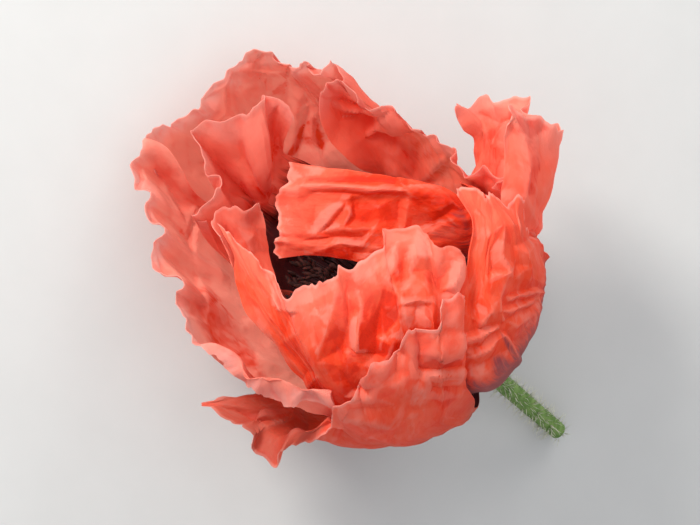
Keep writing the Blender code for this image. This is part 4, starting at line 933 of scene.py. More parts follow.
# Other tissues: the darker and the lighter tone, marks per metre and roughness
TISSUES = {
    "filament": ((0.015, 0.004, 0.006), (0.04, 0.01, 0.01), 900.0, 0.7),
    "anther": ((0.01, 0.003, 0.003), (0.055, 0.012, 0.008), 1500.0, 0.8),
    "seed_head": ((0.12, 0.17, 0.07), (0.26, 0.31, 0.17), 500.0, 0.6),
    "disc_velvet": ((0.03, 0.008, 0.02), (0.085, 0.03, 0.05), 1400.0, 0.85),
    "stem_skin": ((0.10, 0.19, 0.04), (0.20, 0.30, 0.09), 420.0, 0.55),
    "bristle": ((0.55, 0.55, 0.42), (0.75, 0.74, 0.62), 900.0, 0.5),
}
TISSUE_STEPS = (0.35, 0.68)
TISSUE_GRAIN = 5
TISSUE_ROUGHER = 0.1
TISSUE_SPECULAR = 0.2
TISSUE_BUMP = (0.5, 0.0004)

# Studio: each light's place in the bloom's frame, its power in watts, size in metres and colour
LIGHTS = (
    ("key", (-400, 500, 600), 9.2, 0.26, (1.0, 0.98, 0.94)),
    ("fill", (220, 160, 820), 1.7, 0.7, (0.95, 0.97, 1.0)),
    ("back", (430, 690, 380), 2.6, 0.4, (1.0, 0.98, 0.95)),
)
SKY_COLOUR = (0.93, 0.96, 1.0, 1)
SKY_STRENGTH = 0.66
FLOOR_HALF = 3.0
FLOOR_COLOURS = ((0.52, 0.52, 0.51), (0.56, 0.56, 0.55))
FLOOR_NOISE = (60.0, 4.0, 0.6)
FLOOR_ROUGHNESS = 0.85


def bloom_axes():
    """The axis towards the mouth, the azimuth-0 direction (the viewer's side) and the third."""
    lean, turn = math.radians(AXIS_LEAN), math.radians(AXIS_TURN)
    across = np.array((math.cos(turn), math.sin(turn), 0.0))
    viewer = np.array((0.0, 0.0, 1.0))
    axis = math.sin(lean) * across + math.cos(lean) * viewer
    side = -math.cos(lean) * across + math.sin(lean) * viewer
    return axis, side, np.cross(axis, side)


AXIS, SIDE, THIRD = bloom_axes()


def resting_frame():
    """Turns the bloom's frame into the table's: +X is the way the mouth faces, +Z is up."""
    rise = math.radians(AXIS_RISE)
    forward = Vector((math.cos(rise), 0, math.sin(rise)))
    upper = Vector((-math.sin(rise), 0, math.cos(rise)))
    table = np.array((forward, upper, forward.cross(upper)))
    return table.T @ np.array((AXIS, SIDE, THIRD))


TO_TABLE = resting_frame()

# Where the stem's cut end comes down to the table, as a height on the axis
STEM_FOOT = -(
    (BOWL_CENTRE[2] - STEM_RADIUS * math.cos(math.radians(AXIS_RISE))) / math.sin(math.radians(AXIS_RISE))
)


def on_table(points):
    """Bloom points in millimetres as points over the table in metres."""
    return (np.asarray(points) @ TO_TABLE.T + np.array(BOWL_CENTRE)) * MM


def from_picture(x, y, z):
    """The point at depth z that the viewer sees at x, y on the picture plane."""
    scale = (VIEW_DISTANCE - z) / VIEW_DISTANCE
    return np.array((VIEW_X + (x - VIEW_X) * scale, VIEW_Y + (y - VIEW_Y) * scale, z))


def to_picture(points):
    """Where the viewer sees points on the picture plane."""
    scale = VIEW_DISTANCE / (VIEW_DISTANCE - points[..., 2])
    return VIEW_X + (points[..., 0] - VIEW_X) * scale, VIEW_Y + (points[..., 1] - VIEW_Y) * scale


def round_axis(height, radius, azimuth):
    """The point at a height on the axis, a distance from it and an azimuth in radians."""
    return height * AXIS + radius * (math.cos(azimuth) * SIDE + math.sin(azimuth) * THIRD)


def on_bowl(azimuth, angle, radius):
    """The point of the bowl at an azimuth and an angle from its base, both in degrees."""
    angle = math.radians(angle)
    return round_axis(-radius * math.cos(angle), radius * math.sin(angle), math.radians(azimuth))


def base_angle(points):
    """Angle from the bowl's base, in degrees."""
    distance = np.linalg.norm(points, axis=-1)
    return np.degrees(np.arccos(np.clip(-(points @ AXIS) / distance, -1, 1)))


def smooth_step(low, high, value):
    part = np.clip((value - low) / (high - low), 0, 1)
    return part * part * (3 - 2 * part)


def through(knots, points, at):
    """Smooth curve through points, whose slopes are weighed by the steps between knots."""
    knots, points, at = np.asarray(knots), np.asarray(points), np.asarray(at)
    tail = (1,) * (points.ndim - 1)
    step = np.diff(knots).reshape((-1,) + tail)
    rise = np.diff(points, axis=0) / step
    weight = step[:-1] / (step[:-1] + step[1:])
    slope = np.concatenate((rise[:1], rise[:-1] * (1 - weight) + rise[1:] * weight, rise[-1:]))
    i = np.clip(np.searchsorted(knots, at, side="right") - 1, 0, len(knots) - 2)
    s = (at - knots[i]).reshape((-1,) + tail) / step[i]
    start = (1 + 2 * s) * (1 - s) ** 2 * points[i] + s * (1 - s) ** 2 * step[i] * slope[i]
    return start + s * s * (3 - 2 * s) * points[i + 1] + s * s * (s - 1) * step[i] * slope[i + 1]


def arc_between(start, end):
    """Points of an arc about the bowl's centre, whose radius grows slowly, then faster."""
    near, far = np.linalg.norm(start), np.linalg.norm(end)
    turn = math.acos(min(1.0, start.dot(end) / (near * far)))
    count = max(1, round(math.degrees(turn) / ARC_STEP))
    for step in range(1, count):
        part = step / count
        way = math.sin((1 - part) * turn) * start / near + math.sin(part * turn) * end / far
        yield way / math.sin(turn) * (near + (far - near) * part ** FLARE)
    yield end


def rib_nodes(rib):
    """Points of one rib, from the claw along the bowl to the rim, and their distances along it."""
    azimuth, radius, *readings = rib
    points = [from_picture(*reading) for reading in readings]
    claw = math.degrees(math.asin(CLAW_RADIUS / radius))
    top = min(RULED_TOP, base_angle(points[0]) - RULED_MARGIN)
    nodes = [on_bowl(azimuth, angle, radius) for angle in np.linspace(claw, top, RULED_ROWS)]
    for point in points:
        nodes.extend(arc_between(nodes[-1], point))
    nodes = np.array(nodes)
    along = np.concatenate(((0,), np.cumsum(np.linalg.norm(np.diff(nodes, axis=0), axis=1))))
    return nodes, along


def petal_grid(ribs, step):
    """A petal's points by column and row, with the distances across and along it."""
    nodes = [rib_nodes(rib) for rib in ribs]
    length = np.mean([along[-1] for _, along in nodes])
    rows = np.linspace(0, 1, round(length / step))
    curves = np.array([through(along, points, rows * along[-1]) for points, along in nodes])
    gaps = np.linalg.norm(np.diff(curves, axis=0), axis=2)[:, len(rows) // 3:].mean(axis=1)
    knots = np.concatenate(((0,), np.cumsum(gaps)))
    columns = np.linspace(0, knots[-1], round(knots[-1] / step))
    return through(knots, curves, columns), columns, rows * length


def grid_normals(grid):
    """Unit normals of a petal's grid, away from the bowl's centre on the whole."""
    across, along = np.gradient(grid, axis=0), np.gradient(grid, axis=1)
    normal = np.cross(across, along)
    normal /= np.maximum(np.linalg.norm(normal, axis=2, keepdims=True), 1e-9)
    outwards = grid / np.linalg.norm(grid, axis=2, keepdims=True)
    third = grid.shape[1] // 3
    return normal * np.sign((normal * outwards)[:, :third].sum())


def drawn_net(lines):
    """Flat facets between fold lines, which are the facets' edges."""
    corners, edges = [], []
    for line in lines:
        edges.extend((len(corners) + step, len(corners) + step + 1) for step in range(len(line) - 1))
        corners.extend(line)
    corners.extend((NET_EDGE * x, NET_EDGE * y, 0.0) for x, y in ((-1, -1), (1, -1), (1, 1), (-1, 1)))
    flat = [Vector(corner[:2]) for corner in corners]
    places, _, faces, sources, *_ = delaunay_2d_cdt(flat, edges, [], 0, 1e-4)
    heights = [corners[source[0]][2] if source else 0.0 for source in sources]
    return BVHTree.FromPolygons([(*place, height) for place, height in zip(places, heights)], faces)


def facet_net(width, length, across, along, height, rng):
    """Flat facets over a strip: a strayed lattice whose columns rise and fall in turn.

    The net repeats after its width, and reaches one step past each side of the strip.
    """
    columns, rows = 2 * round(width / across / 2), round(length / along) + 3
    stray = rng.uniform(-STRAY, STRAY, (2, columns, rows))
    turns = rng.choice((1, -1), (columns, rows), p=(1 - TURNED, TURNED))
    rise = np.where(np.arange(columns) % 2, 1.0, -1.0)[:, None] * turns
    rise = rise * height * rng.uniform(LEAST_FOLD, 1, (columns, rows))
    around = np.arange(-1, columns + 2)
    corners = np.stack((
        (around[:, None] + stray[0, around % columns]) * width / columns,
        (np.arange(rows) - 1 + stray[1, around % columns]) * along,
        rise[around % columns],
    ), axis=-1)
    index = np.arange(len(around) * rows).reshape(-1, rows)
    low, right, far, up = index[:-1, :-1], index[1:, :-1], index[1:, 1:], index[:-1, 1:]
    turned = rng.random(low.shape)[..., None] < 0.5
    first = np.where(turned, np.stack((low, right, far), -1), np.stack((low, right, up), -1))
    second = np.where(turned, np.stack((low, far, up), -1), np.stack((right, far, up), -1))
    faces = np.concatenate((first.reshape(-1, 3), second.reshape(-1, 3)))
    return BVHTree.FromPolygons(corners.reshape(-1, 3).tolist(), faces.tolist())


def look_up(net, x, y):
    """A net's height, its slopes along x and y, and its facet's number at each place."""
    down = Vector((0, 0, -1))
    found = []
    for u, v in zip(x.ravel().tolist(), y.ravel().tolist()):
        place, normal, number, _ = net.ray_cast(Vector((u, v, NET_EDGE)), down)
        if place:
            found.append((place[2], -normal[0] / normal[2], -normal[1] / normal[2], number))
        else:
            found.append((0, 0, 0, 0))
    return np.array(found).T.reshape((4,) + x.shape)


def lit_tone(slope_x, slope_y):
    """Painted light: 1 on facets that face the upper left of the picture, -1 on those that face away."""
    return np.clip(-(slope_x * LIT_SIDE[0] + slope_y * LIT_SIDE[1]) / FULL_SLOPE, -1, 1)


def patch_tones(patches, x, y):
    """The sum of the amounts of drawn patches on the picture, which paint light, shade and dark base."""
    tones = np.zeros(x.shape)
    for light_and_tone, soft, corners in patches:
        corners = np.array(corners)
        low, high = corners.min(axis=0) - soft, corners.max(axis=0) + soft
        near = (x > low[0]) & (x < high[0]) & (y > low[1]) & (y < high[1])
        places = np.stack((x[near], y[near]), axis=-1)
        gap = np.full(len(places), NET_EDGE)
        inside = np.zeros(len(places), dtype=bool)
        for start, end in zip(corners, np.roll(corners, -1, axis=0)):
            way = end - start
            part = np.clip((places - start) @ way / way.dot(way), 0, 1)
            gap = np.minimum(gap, np.linalg.norm(places - start - part[:, None] * way, axis=1))
            level = (start[1] > places[:, 1]) != (end[1] > places[:, 1])
            steep = way[1] if abs(way[1]) > 1e-9 else 1e-9
            inside ^= level & (places[:, 0] < start[0] + way[0] * (places[:, 1] - start[1]) / steep)
        tones[near] += light_and_tone * smooth_step(-soft, soft, np.where(inside, gap, -gap))
    return tones


FRONT_NET = drawn_net(FRONT_LINES)
FACET_TONES = np.random.default_rng(TONE_SEED).uniform(-1, 1, LISTED_TONES)
SHARED_NETS = [
    facet_net(360.0, 180.0, across, along, height, np.random.default_rng(seed))
    for across, along, height, seed in SHARED_FACETS
]


def crumple_push(points, ways):
    """Folds, facets, pleats and resting bulges, which move all the layers alike, and painted light and
    tone.
    """
    turn = np.arctan2(ways @ THIRD, ways @ SIDE)
    angle = base_angle(ways)
    risen = np.clip((angle - PLEAT_FROM) / (PLEAT_FULL - PLEAT_FROM), 0, 1)
    risen = risen * smooth_step(*MOUTH_FADE, angle)
    front = np.clip(points[..., 2] / FOLD_FRONT_Z, 0, 1)
    height, slope_x, slope_y, _ = look_up(FRONT_NET, *to_picture(points))
    push = height * front
    # Painted light and shade: front facets lit from the upper left, and the front's drawn patches
    lit = FRONT_LIT * lit_tone(slope_x, slope_y)
    light_and_tone = (lit + patch_tones(FRONT_PATCHES, *to_picture(points))) * front
    for net, strength in zip(SHARED_NETS, SHARED_TONES):
        facets = look_up(net, np.degrees(turn) % 360, angle)
        push += facets[0] * risen * (1 - (1 - FRONT_FACETS) * front)
        light_and_tone += strength * FACET_TONES[facets[3].astype(int)] * (1 - FRONT_TONE_LOSS * front)
    for count, phase, depth in PLEATS:
        push += depth * risen * np.sin(count * turn + phase)
    distance = np.linalg.norm(points, axis=-1)
    for bulge in REST_BULGES:
        far = np.linalg.norm(ways - on_bowl(*bulge, 1.0), axis=-1) * distance / BULGE_WIDTH
        push += BULGE_DEPTH * np.clip(1 - far ** 2, 0, 1) ** 2
    return push, light_and_tone


def wave_noise(at, rng, wavelength):
    """A smooth seeded wave along one direction, between about -1 and 1."""
    count = int(at.max() / wavelength) + 4
    strayed = np.cumsum(rng.uniform(-KNOT_STRAY, KNOT_STRAY, count)) * KNOT_DRIFT * wavelength
    return through(np.arange(count) * wavelength + strayed, rng.uniform(-1, 1, count), at)


def wave_sum(at, rng, waves):
    """Seeded waves along one direction, each with its wavelength and its share."""
    return sum(share * wave_noise(at, rng, wavelength) for wavelength, share in waves)


def own_facets(name, across, along, rng):
    """Height and tone of a petal's own facets."""
    x, y = np.meshgrid(across, along, indexing="ij")
    push, light_and_tone = np.zeros(x.shape), np.zeros(x.shape)
    for (width, length, height), strength in zip(OWN_FACETS, OWN_TONES):
        net = facet_net(across[-1] + 2 * width, along[-1], width, length, height, rng)
        facets = look_up(net, x + width, y)
        push += facets[0]
        light_and_tone += strength * FACET_TONES[facets[3].astype(int) % len(FACET_TONES)]
    return push * OWN_STRENGTH.get(name, 1.0), light_and_tone


def shape_petal(name, ribs, seed):
    """A crumpled petal's points, its places across and along, and surface values."""
    rng = np.random.default_rng(seed)
    step = FINE_STEP if name in FINE_PETALS else PLAIN_STEP
    grid, across, along = petal_grid(ribs, step)
    angle = base_angle(grid)
    ways = grid / np.linalg.norm(grid, axis=-1, keepdims=True)
    push, light_and_tone = crumple_push(grid, ways)
    grid = grid + ways * push[..., None]
    normal = grid_normals(grid)
    from_rim = along[-1] - along
    near_rim = smooth_step(RUFFLE_REACH, 0, from_rim)
    ruffle = wave_sum(across, rng, RUFFLE_WAVES)
    own, own_tone = own_facets(name, across, along, rng)
    light_and_tone = light_and_tone + own_tone
    facing = -1 if name in SEEN_INSIDE else 1
    if name in PETAL_LINES:
        height, slope_x, slope_y, _ = look_up(drawn_net(PETAL_LINES[name]), *to_picture(grid))
        own = own + facing * LINE_HEIGHT.get(name, 1.0) * height
        # Painted light and shade: facets of the drawn folds lit from the upper left, then drawn patches
        light_and_tone = light_and_tone + facing * LIT_SHARE * lit_tone(slope_x, slope_y)
    light_and_tone = TONE_SHARE.get(name, 1.0) * light_and_tone
    light_and_tone = light_and_tone + facing * patch_tones(PETAL_PATCHES.get(name, ()), *to_picture(grid))
    own = own + RUFFLE * RUFFLED.get(name, 1.0) * ruffle[:, None] * near_rim ** 2
    fade = smooth_step(0.0, RELIEF_GROWS, along / along[-1])
    grid = grid + normal * (own * fade)[..., None]
    rise = np.gradient(grid, axis=1)
    rise /= np.maximum(np.linalg.norm(rise, axis=2, keepdims=True), 1e-9)
    jag = RIM_JAG * wave_sum(across, rng, JAG_WAVES)
    grid = grid + rise * (jag[:, None] * smooth_step(JAG_REACH, 0.0, from_rim))[..., None]
    return grid, across, along, angle, from_rim, np.clip(light_and_tone, *TONES)


def bend(grid, normal, reach):
    """How far each point stands above its neighbours, reach steps away, in millimetres."""
    padded = np.pad(grid, ((reach, reach), (reach, reach), (0, 0)), mode="edge")
    mean = (padded[2 * reach:, reach:-reach] + padded[:-2 * reach, reach:-reach]
            + padded[reach:-reach, 2 * reach:] + padded[reach:-reach, :-2 * reach]) / 4
    return ((grid - mean) * normal).sum(axis=2)


def sheet_faces(columns, rows):
    """Quads of both faces and the edges of a closed thin sheet on a grid."""
    index = np.arange(columns * rows).reshape(columns, rows)
    low, right = index[:-1, :-1], index[1:, :-1]
    far, up = index[1:, 1:], index[:-1, 1:]
    outer = np.stack((low, right, far, up), axis=-1).reshape(-1, 4)
    inner = outer[:, ::-1] + columns * rows
    edge = np.concatenate((index[:, 0], index[-1, 1:], index[-2::-1, -1], index[0, -2:0:-1]))
    after = np.roll(edge, -1)
    rim = np.stack((edge, edge + columns * rows, after + columns * rows, after), axis=-1)
    return np.concatenate((outer, inner, rim))


def add_values(mesh, name, outer, inner):
    """A value for each point of a petal's outer and inner wall."""
    attribute = mesh.attributes.new(name, "FLOAT", "POINT")
    attribute.data.foreach_set("value", np.stack((outer, inner)).astype(np.float32).ravel())


def link_piece(name, mesh, node):
    """Puts a mesh into the scene, in place of a node if one is named."""
    piece = bpy.data.objects.new(name, mesh)
    bpy.context.scene.collection.objects.link(piece)
    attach(piece, "root")
    if node:
        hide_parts(node)
    return piece


def shade_amounts(name, x, y):
    """How dark a petal is in the round places that lie in shade."""
    shade = np.zeros(x.shape)
    for middle_x, middle_y, radius, amount in SHADED.get(name, ()):
        far = np.hypot(x - middle_x, y - middle_y) / radius
        shade = np.maximum(shade, amount * smooth_step(1.0, SHADE_CORE, far))
    return shade


def base_lift(name, grid):
    """Degrees by which a petal's dark base reaches less far."""
    low, high, lift = BLOTCH_TILT.get(name, (0, 1, 0))
    return lift * smooth_step(low, high, np.degrees(np.arctan2(grid @ THIRD, grid @ SIDE)))


def add_petal(name, ribs, seed, material):
    """A petal as a closed sheet with two walls, and the values that its material reads."""
    grid, across, along, angle, from_rim, light_and_tone = shape_petal(name, ribs, seed)
    normal = grid_normals(grid)
    half = PETAL_THICK / 2
    walls = np.stack((grid + normal * half, grid - normal * half))
    points = on_table(walls.reshape(-1, 3))
    points[:, 2] = np.maximum(points[:, 2], TABLE_CLEAR * MM)
    faces = sheet_faces(*grid.shape[:2])
    mesh = bpy.data.meshes.new(name)
    mesh.from_pydata(points.tolist(), [], faces.tolist())
    mesh.update()
    mesh.shade_smooth()
    mesh.set_sharp_from_angle(angle=SHARP_ANGLE)
    spread = np.stack(np.meshgrid(across, along, indexing="ij"), axis=-1).reshape(-1, 2)
    spread = np.concatenate((spread, spread))
    layer = mesh.uv_layers.new(name="Petal")
    layer.data.foreach_set("uv", spread[faces.ravel()].astype(np.float32).ravel())
    stand = bend(grid, normal, CREST_REACH)
    angle = angle + base_lift(name, grid)
    x, y = to_picture(grid)
    # Dark base seen from outside and painted shade in creases and crevices, on the front's outer wall
    base_and_shade = patch_tones(DARK_BASE_AND_SHADE.get(name, ()), x, y) * (grid[..., 2] > 0)
    rim = np.broadcast_to(from_rim, angle.shape)
    none = np.zeros(angle.shape)
    # The crest steers painted shade in the folds and painted highlights on the crests
    add_values(mesh, "crest", stand, -stand)
    # Painted light and shade, with random tone, for the outer wall and reversed for the inner
    add_values(mesh, "light_and_tone", light_and_tone, -light_and_tone)
    add_values(mesh, "angle", angle, angle)
    add_values(mesh, "shade", none, shade_amounts(name, x, y))
    add_values(mesh, "base_and_shade", base_and_shade, none)
    add_values(mesh, "rim", rim, rim)
    add_values(mesh, "inside", none, none + 1)
    mesh.materials.append(material)
    piece = link_piece(name + "_petal", mesh, name)


class Graph:
    """A new material's nodes, with short calls to add and join them."""

    def __init__(self, name):
        self.material = bpy.data.materials.new(name)
        self.material.use_nodes = True
        self.nodes = self.material.node_tree.nodes
        self.links = self.material.node_tree.links
        self.shader = self.nodes["Principled BSDF"]
        self.output = self.nodes["Material Output"]

    def add(self, kind, settings=None, **inputs):
        node = self.nodes.new(kind)
        for key, value in (settings or {}).items():
            setattr(node, key, value)
        for key, value in inputs.items():
            self.set(node, key, value)
        return node

    def set(self, node, key, value):
        """Sets or joins an input, which is given by its name, or by the letter i and its number."""
        numbered = key[0] == "i" and key[1:].isdigit()
        socket = node.inputs[int(key[1:]) if numbered else key.replace("_", " ")]
        if isinstance(value, bpy.types.NodeSocket):
            self.links.new(value, socket)
        else:
            socket.default_value = value

    def value(self, name):
        return self.add("ShaderNodeAttribute", {"attribute_name": name}).outputs["Fac"]

    def math(self, operation, first, second):
        return self.add("ShaderNodeMath", {"operation": operation}, i0=first, i1=second).outputs[0]

    def between(self, value, low, high):
        """0 at low, 1 at high, smooth between."""
        settings = {"interpolation_type": "SMOOTHSTEP"}
        return self.add("ShaderNodeMapRange", settings, i0=value, i1=low, i2=high).outputs[0]

    def share(self, value, low, high, full):
        """0 at low, the full share at high, smooth between."""
        return self.math("MULTIPLY", self.between(value, low, high), full)

    def ragged(self, value, noise, width):
        """A value that noise moves up and down over a width."""
        moved = self.math("MULTIPLY", self.math("SUBTRACT", noise, 0.5), width)
        return self.math("ADD", value, moved)

    def spread_over(self, noise, low, high):
        """A noise whose middle is spread over a range."""
        start, end = NOISE_MIDDLE
        return self.add("ShaderNodeMapRange", i0=noise, i1=start, i2=end, i3=low, i4=high).outputs[0]

    def mix(self, factor, first, second, blend="MIX"):
        node = self.nodes.new("ShaderNodeMix")
        node.data_type = "RGBA"
        node.blend_type = blend
        for number, value in ((0, factor), (6, first), (7, second)):
            if isinstance(value, bpy.types.NodeSocket):
                self.links.new(value, node.inputs[number])
            else:
                node.inputs[number].default_value = value if isinstance(value, float) else (*value, 1)
        return node.outputs[2]

    def noise(self, vector, scale, detail, roughness):
        return self.add(
            "ShaderNodeTexNoise", Vector=vector, Scale=scale, Detail=detail, Roughness=roughness
        ).outputs["Fac"]

    def noise_colour(self, vector, scale):
        return self.add("ShaderNodeTexNoise", Vector=vector, Scale=scale, Detail=2.0).outputs["Color"]

    def cell_values(self, vector):
        """A random value for each flat cell."""
        settings = {"voronoi_dimensions": "2D", "feature": "F1"}
        return self.add("ShaderNodeTexVoronoi", settings, Vector=vector, Scale=1.0).outputs["Color"]

    def stretched(self, vector, across, along):
        return self.add("ShaderNodeMapping", Vector=vector, Scale=(across, along, 1.0)).outputs["Vector"]

    def bump(self, height, strength, distance):
        node = self.add("ShaderNodeBump", Strength=strength, Distance=distance, Height=height)
        return node.outputs["Normal"]


def petal_values(graph, shift):
    """What steers a petal's colours: values of the mesh, noise and flat cells."""
    spread = graph.add("ShaderNodeUVMap", {"uv_map": "Petal"}).outputs["UV"]
    moved = (shift, shift * NOISE_SLANT, shift)
    spread = graph.add("ShaderNodeMapping", Vector=spread, Location=moved).outputs["Vector"]
    value = {key: graph.value(key) for key in ("crest", "light_and_tone", "angle", "rim", "inside", "base_and_shade", "shade")}
    for key, (across, along, detail, roughness) in PETAL_NOISE.items():
        value[key] = graph.noise(graph.stretched(spread, across, along), 1.0, detail, roughness)
    strayed = graph.noise_colour(spread, WRINKLE_SCALE)
    wrinkled = graph.mix(CELL_WRINKLE, spread, strayed, "LINEAR_LIGHT")
    value["facet"] = graph.cell_values(graph.stretched(wrinkled, *CELLS))
    return value


def tissue_colour(graph, value, rim_sheen, pale_all, blush):
    """Coral in two tones, painted shade in folds, painted highlights on crests and sheen at the rim."""
    colour = graph.mix(graph.between(value["patches"], *CORAL_STEPS), CORAL, LIGHT_CORAL)
    # Painted shade where the painted light is low, with the petal's random cells and veins
    for key, low, high, full, layer in UNDER_RIM:
        colour = graph.mix(graph.share(value[key], low, high, full), colour, layer)
    # Painted sheen: paler towards the rim
    reach = graph.ragged(value["rim"], value["patches"], RIM_RAGGED)
    pale = graph.share(reach, *PALE_REACH, rim_sheen)
    pale = graph.math("MAXIMUM", pale, graph.share(value["light_and_tone"], *PALE_TONES, pale_all))
    blushed = graph.mix(graph.math("MULTIPLY", value["inside"], blush), PALE, BLUSH)
    colour = graph.mix(pale, colour, blushed)
    colour = graph.mix(graph.share(reach, *MAUVE_REACH, MAUVE_SHARE * blush), colour, MAUVE)
    # Painted highlight and shade: by the painted light, darkest where deepest, and by the crests
    for key, low, high, full, layer in OVER_RIM:
        colour = graph.mix(graph.share(value[key], low, high, full), colour, layer)
    # Painted highlight: a thin pale line along the rim's edge
    edge = graph.between(value["rim"], *EDGE_REACH)
    edge = graph.math("MULTIPLY", edge, graph.between(value["patches"], *EDGE_PATCHES))
    return graph.mix(graph.math("MULTIPLY", edge, EDGE_SHARE), colour, RIM_HIGHLIGHT)


def base_colour(graph, value, colour, inner_reach, outer_reach):
    """The petal's colour with its dark base, drawn patches of base and painted shade, and shaded places."""
    # Drawn patches of dark base and painted shade, streaked by the veins
    streaks = graph.math("ADD", 1 - STREAK_SHARE, graph.share(value["veins"], *STREAKS, STREAK_SHARE))
    base_and_shade = graph.math("MULTIPLY", value["base_and_shade"], streaks)
    angle = value["angle"]
    for key, width in BASE_RAGGED:
        angle = graph.ragged(angle, value[key], width)
    reach = graph.math("MULTIPLY", value["inside"], inner_reach - outer_reach)
    reach = graph.math("ADD", reach, outer_reach)
    dark = graph.between(graph.math("SUBTRACT", angle, reach), BASE_EDGE, -BASE_EDGE)
    seen = graph.math("ADD", BASE_OUTSIDE, graph.math("MULTIPLY", value["inside"], BASE_GAIN))
    dark = graph.math("MAXIMUM", graph.math("MULTIPLY", dark, seen), base_and_shade)
    colour = graph.mix(dark, colour, graph.mix(value["inside"], SEEN_THROUGH, BLOTCH))
    return graph.mix(value["shade"], colour, SHADE)


def petal_material(name, shift, inner_reach, outer_reach, rim_sheen, pale_all, through, blush):
    """Thin coral petal that lets light through, crinkled like crepe and dark at its base."""
    graph = Graph(name)
    value = petal_values(graph, shift)
    colour = tissue_colour(graph, value, rim_sheen, pale_all, blush)
    colour = base_colour(graph, value, colour, inner_reach, outer_reach)
    relief = graph.math("ADD", graph.math("MULTIPLY", value["veins"], VEIN_RELIEF), value["crepe"])
    normal = graph.bump(relief, *PETAL_BUMP)
    shader = graph.shader
    graph.set(shader, "Base Color", colour)
    graph.set(shader, "Roughness", graph.spread_over(value["crepe"], *PETAL_ROUGHNESS))
    graph.set(shader, "Normal", normal)
    for key, constant in PETAL_SURFACE.items():
        shader.inputs[key].default_value = constant
    glow = graph.add("ShaderNodeGamma", Color=colour, Gamma=ONE_WALL).outputs[0]
    through_light = graph.add("ShaderNodeBsdfTranslucent", Color=glow, Normal=normal)
    both = graph.add("ShaderNodeMixShader", Fac=through)
    graph.links.new(shader.outputs[0], both.inputs[1])
    graph.links.new(through_light.outputs[0], both.inputs[2])
    graph.links.new(both.outputs[0], graph.output.inputs["Surface"])
    return graph.material


def tissue_material(name, dark, light, scale, roughness):
    """Plant tissue in two tones, mottled by noise."""
    graph = Graph(name)
    place = graph.add("ShaderNodeTexCoord").outputs["Object"]
    marks = graph.noise(place, scale, 5.0, 0.6)
    grain = graph.noise(place, scale * TISSUE_GRAIN, 3.0, 0.6)
    graph.set(graph.shader, "Base Color", graph.mix(graph.between(marks, *TISSUE_STEPS), dark, light))
    rough = graph.spread_over(grain, roughness - TISSUE_ROUGHER, roughness + TISSUE_ROUGHER)
    graph.set(graph.shader, "Roughness", rough)
    graph.shader.inputs["Specular IOR Level"].default_value = TISSUE_SPECULAR
    graph.set(graph.shader, "Normal", graph.bump(grain, *TISSUE_BUMP))
    return graph.material


def add_body(name, points, faces, material, node):
    """One smooth mesh from points in the bloom's frame."""
    mesh = bpy.data.meshes.new(name)
    mesh.from_pydata(on_table(points).tolist(), [], faces)
    mesh.update()
    mesh.shade_smooth()
    mesh.materials.append(material)
    piece = link_piece(name, mesh, node)


def tube_points(path, radii, sides):
    """Rings of points round a path, each square to it."""
    ahead = np.gradient(path, axis=0)
    ahead /= np.linalg.norm(ahead, axis=1, keepdims=True)
    helper = np.cross(ahead[0], AXIS + 0.3 * THIRD)
    rings = []
    for point, way, radius in zip(path, ahead, radii):
        first = helper - way * helper.dot(way)
        first /= np.linalg.norm(first)
        second = np.cross(way, first)
        turns = np.arange(sides) * 2 * math.pi / sides
        rings.append(point + radius * (np.cos(turns)[:, None] * first + np.sin(turns)[:, None] * second))
    return np.array(rings)


def tube_faces(rings, sides, start):
    """Faces of a closed tube whose points begin at a number."""
    faces = []
    for ring in range(rings - 1):
        for side in range(sides):
            after = (side + 1) % sides
            low, high = start + ring * sides, start + (ring + 1) * sides
            faces.append((low + side, low + after, high + after, high + side))
    faces.append(tuple(range(start, start + sides))[::-1])
    faces.append(tuple(range(start + (rings - 1) * sides, start + rings * sides)))
    return faces


def add_tubes(name, tubes, sides, material, node):
    """One mesh of many closed tubes, each a path with its radii."""
    points, faces = [], []
    for path, radii in tubes:
        rings = tube_points(path, radii, sides)
        faces += tube_faces(len(rings), sides, sum(len(part) for part in points))
        points.append(rings.reshape(-1, 3))
    add_body(name, np.concatenate(points), faces, material, node)


def stamen_tip(azimuth, outer):
    """Distance from the axis and height of a stamen's tip, by azimuth and by its row from 0 to 1."""
    degrees = math.degrees(azimuth)
    aside = abs((degrees - FOLD_AZIMUTH + 180) % 360 - 180)
    free = float(smooth_step(*SHELTER_ENDS, aside))
    deep = math.cos(math.radians(degrees - FAR_AZIMUTH))
    near, far = (
        np.array([sheltered + free * (gain + tilt * deep) for sheltered, gain, tilt in tips])
        for tips in (INNER_TIPS, OUTER_TIPS)
    )
    return near + (far - near) * outer


def stamen_path(azimuth, outer, rng):
    """A filament's path from the ring to its tip, bent outwards low down."""
    tip = stamen_tip(azimuth, outer) + rng.normal(0, TIP_SCATTER, 2)
    root = RING_RADIUS[0] + (RING_RADIUS[1] - RING_RADIUS[0]) * outer
    lean = rng.normal(0, LEAN_SCATTER)
    path = []
    for part in np.linspace(0, 1, FILAMENT_STEPS):
        radius = root + (tip[0] - root) * part ** OUTWARD_CURVE
        height = RING_HEIGHT + (tip[1] - RING_HEIGHT) * part
        path.append(round_axis(height, radius, azimuth + lean * part))
    return np.array(path)


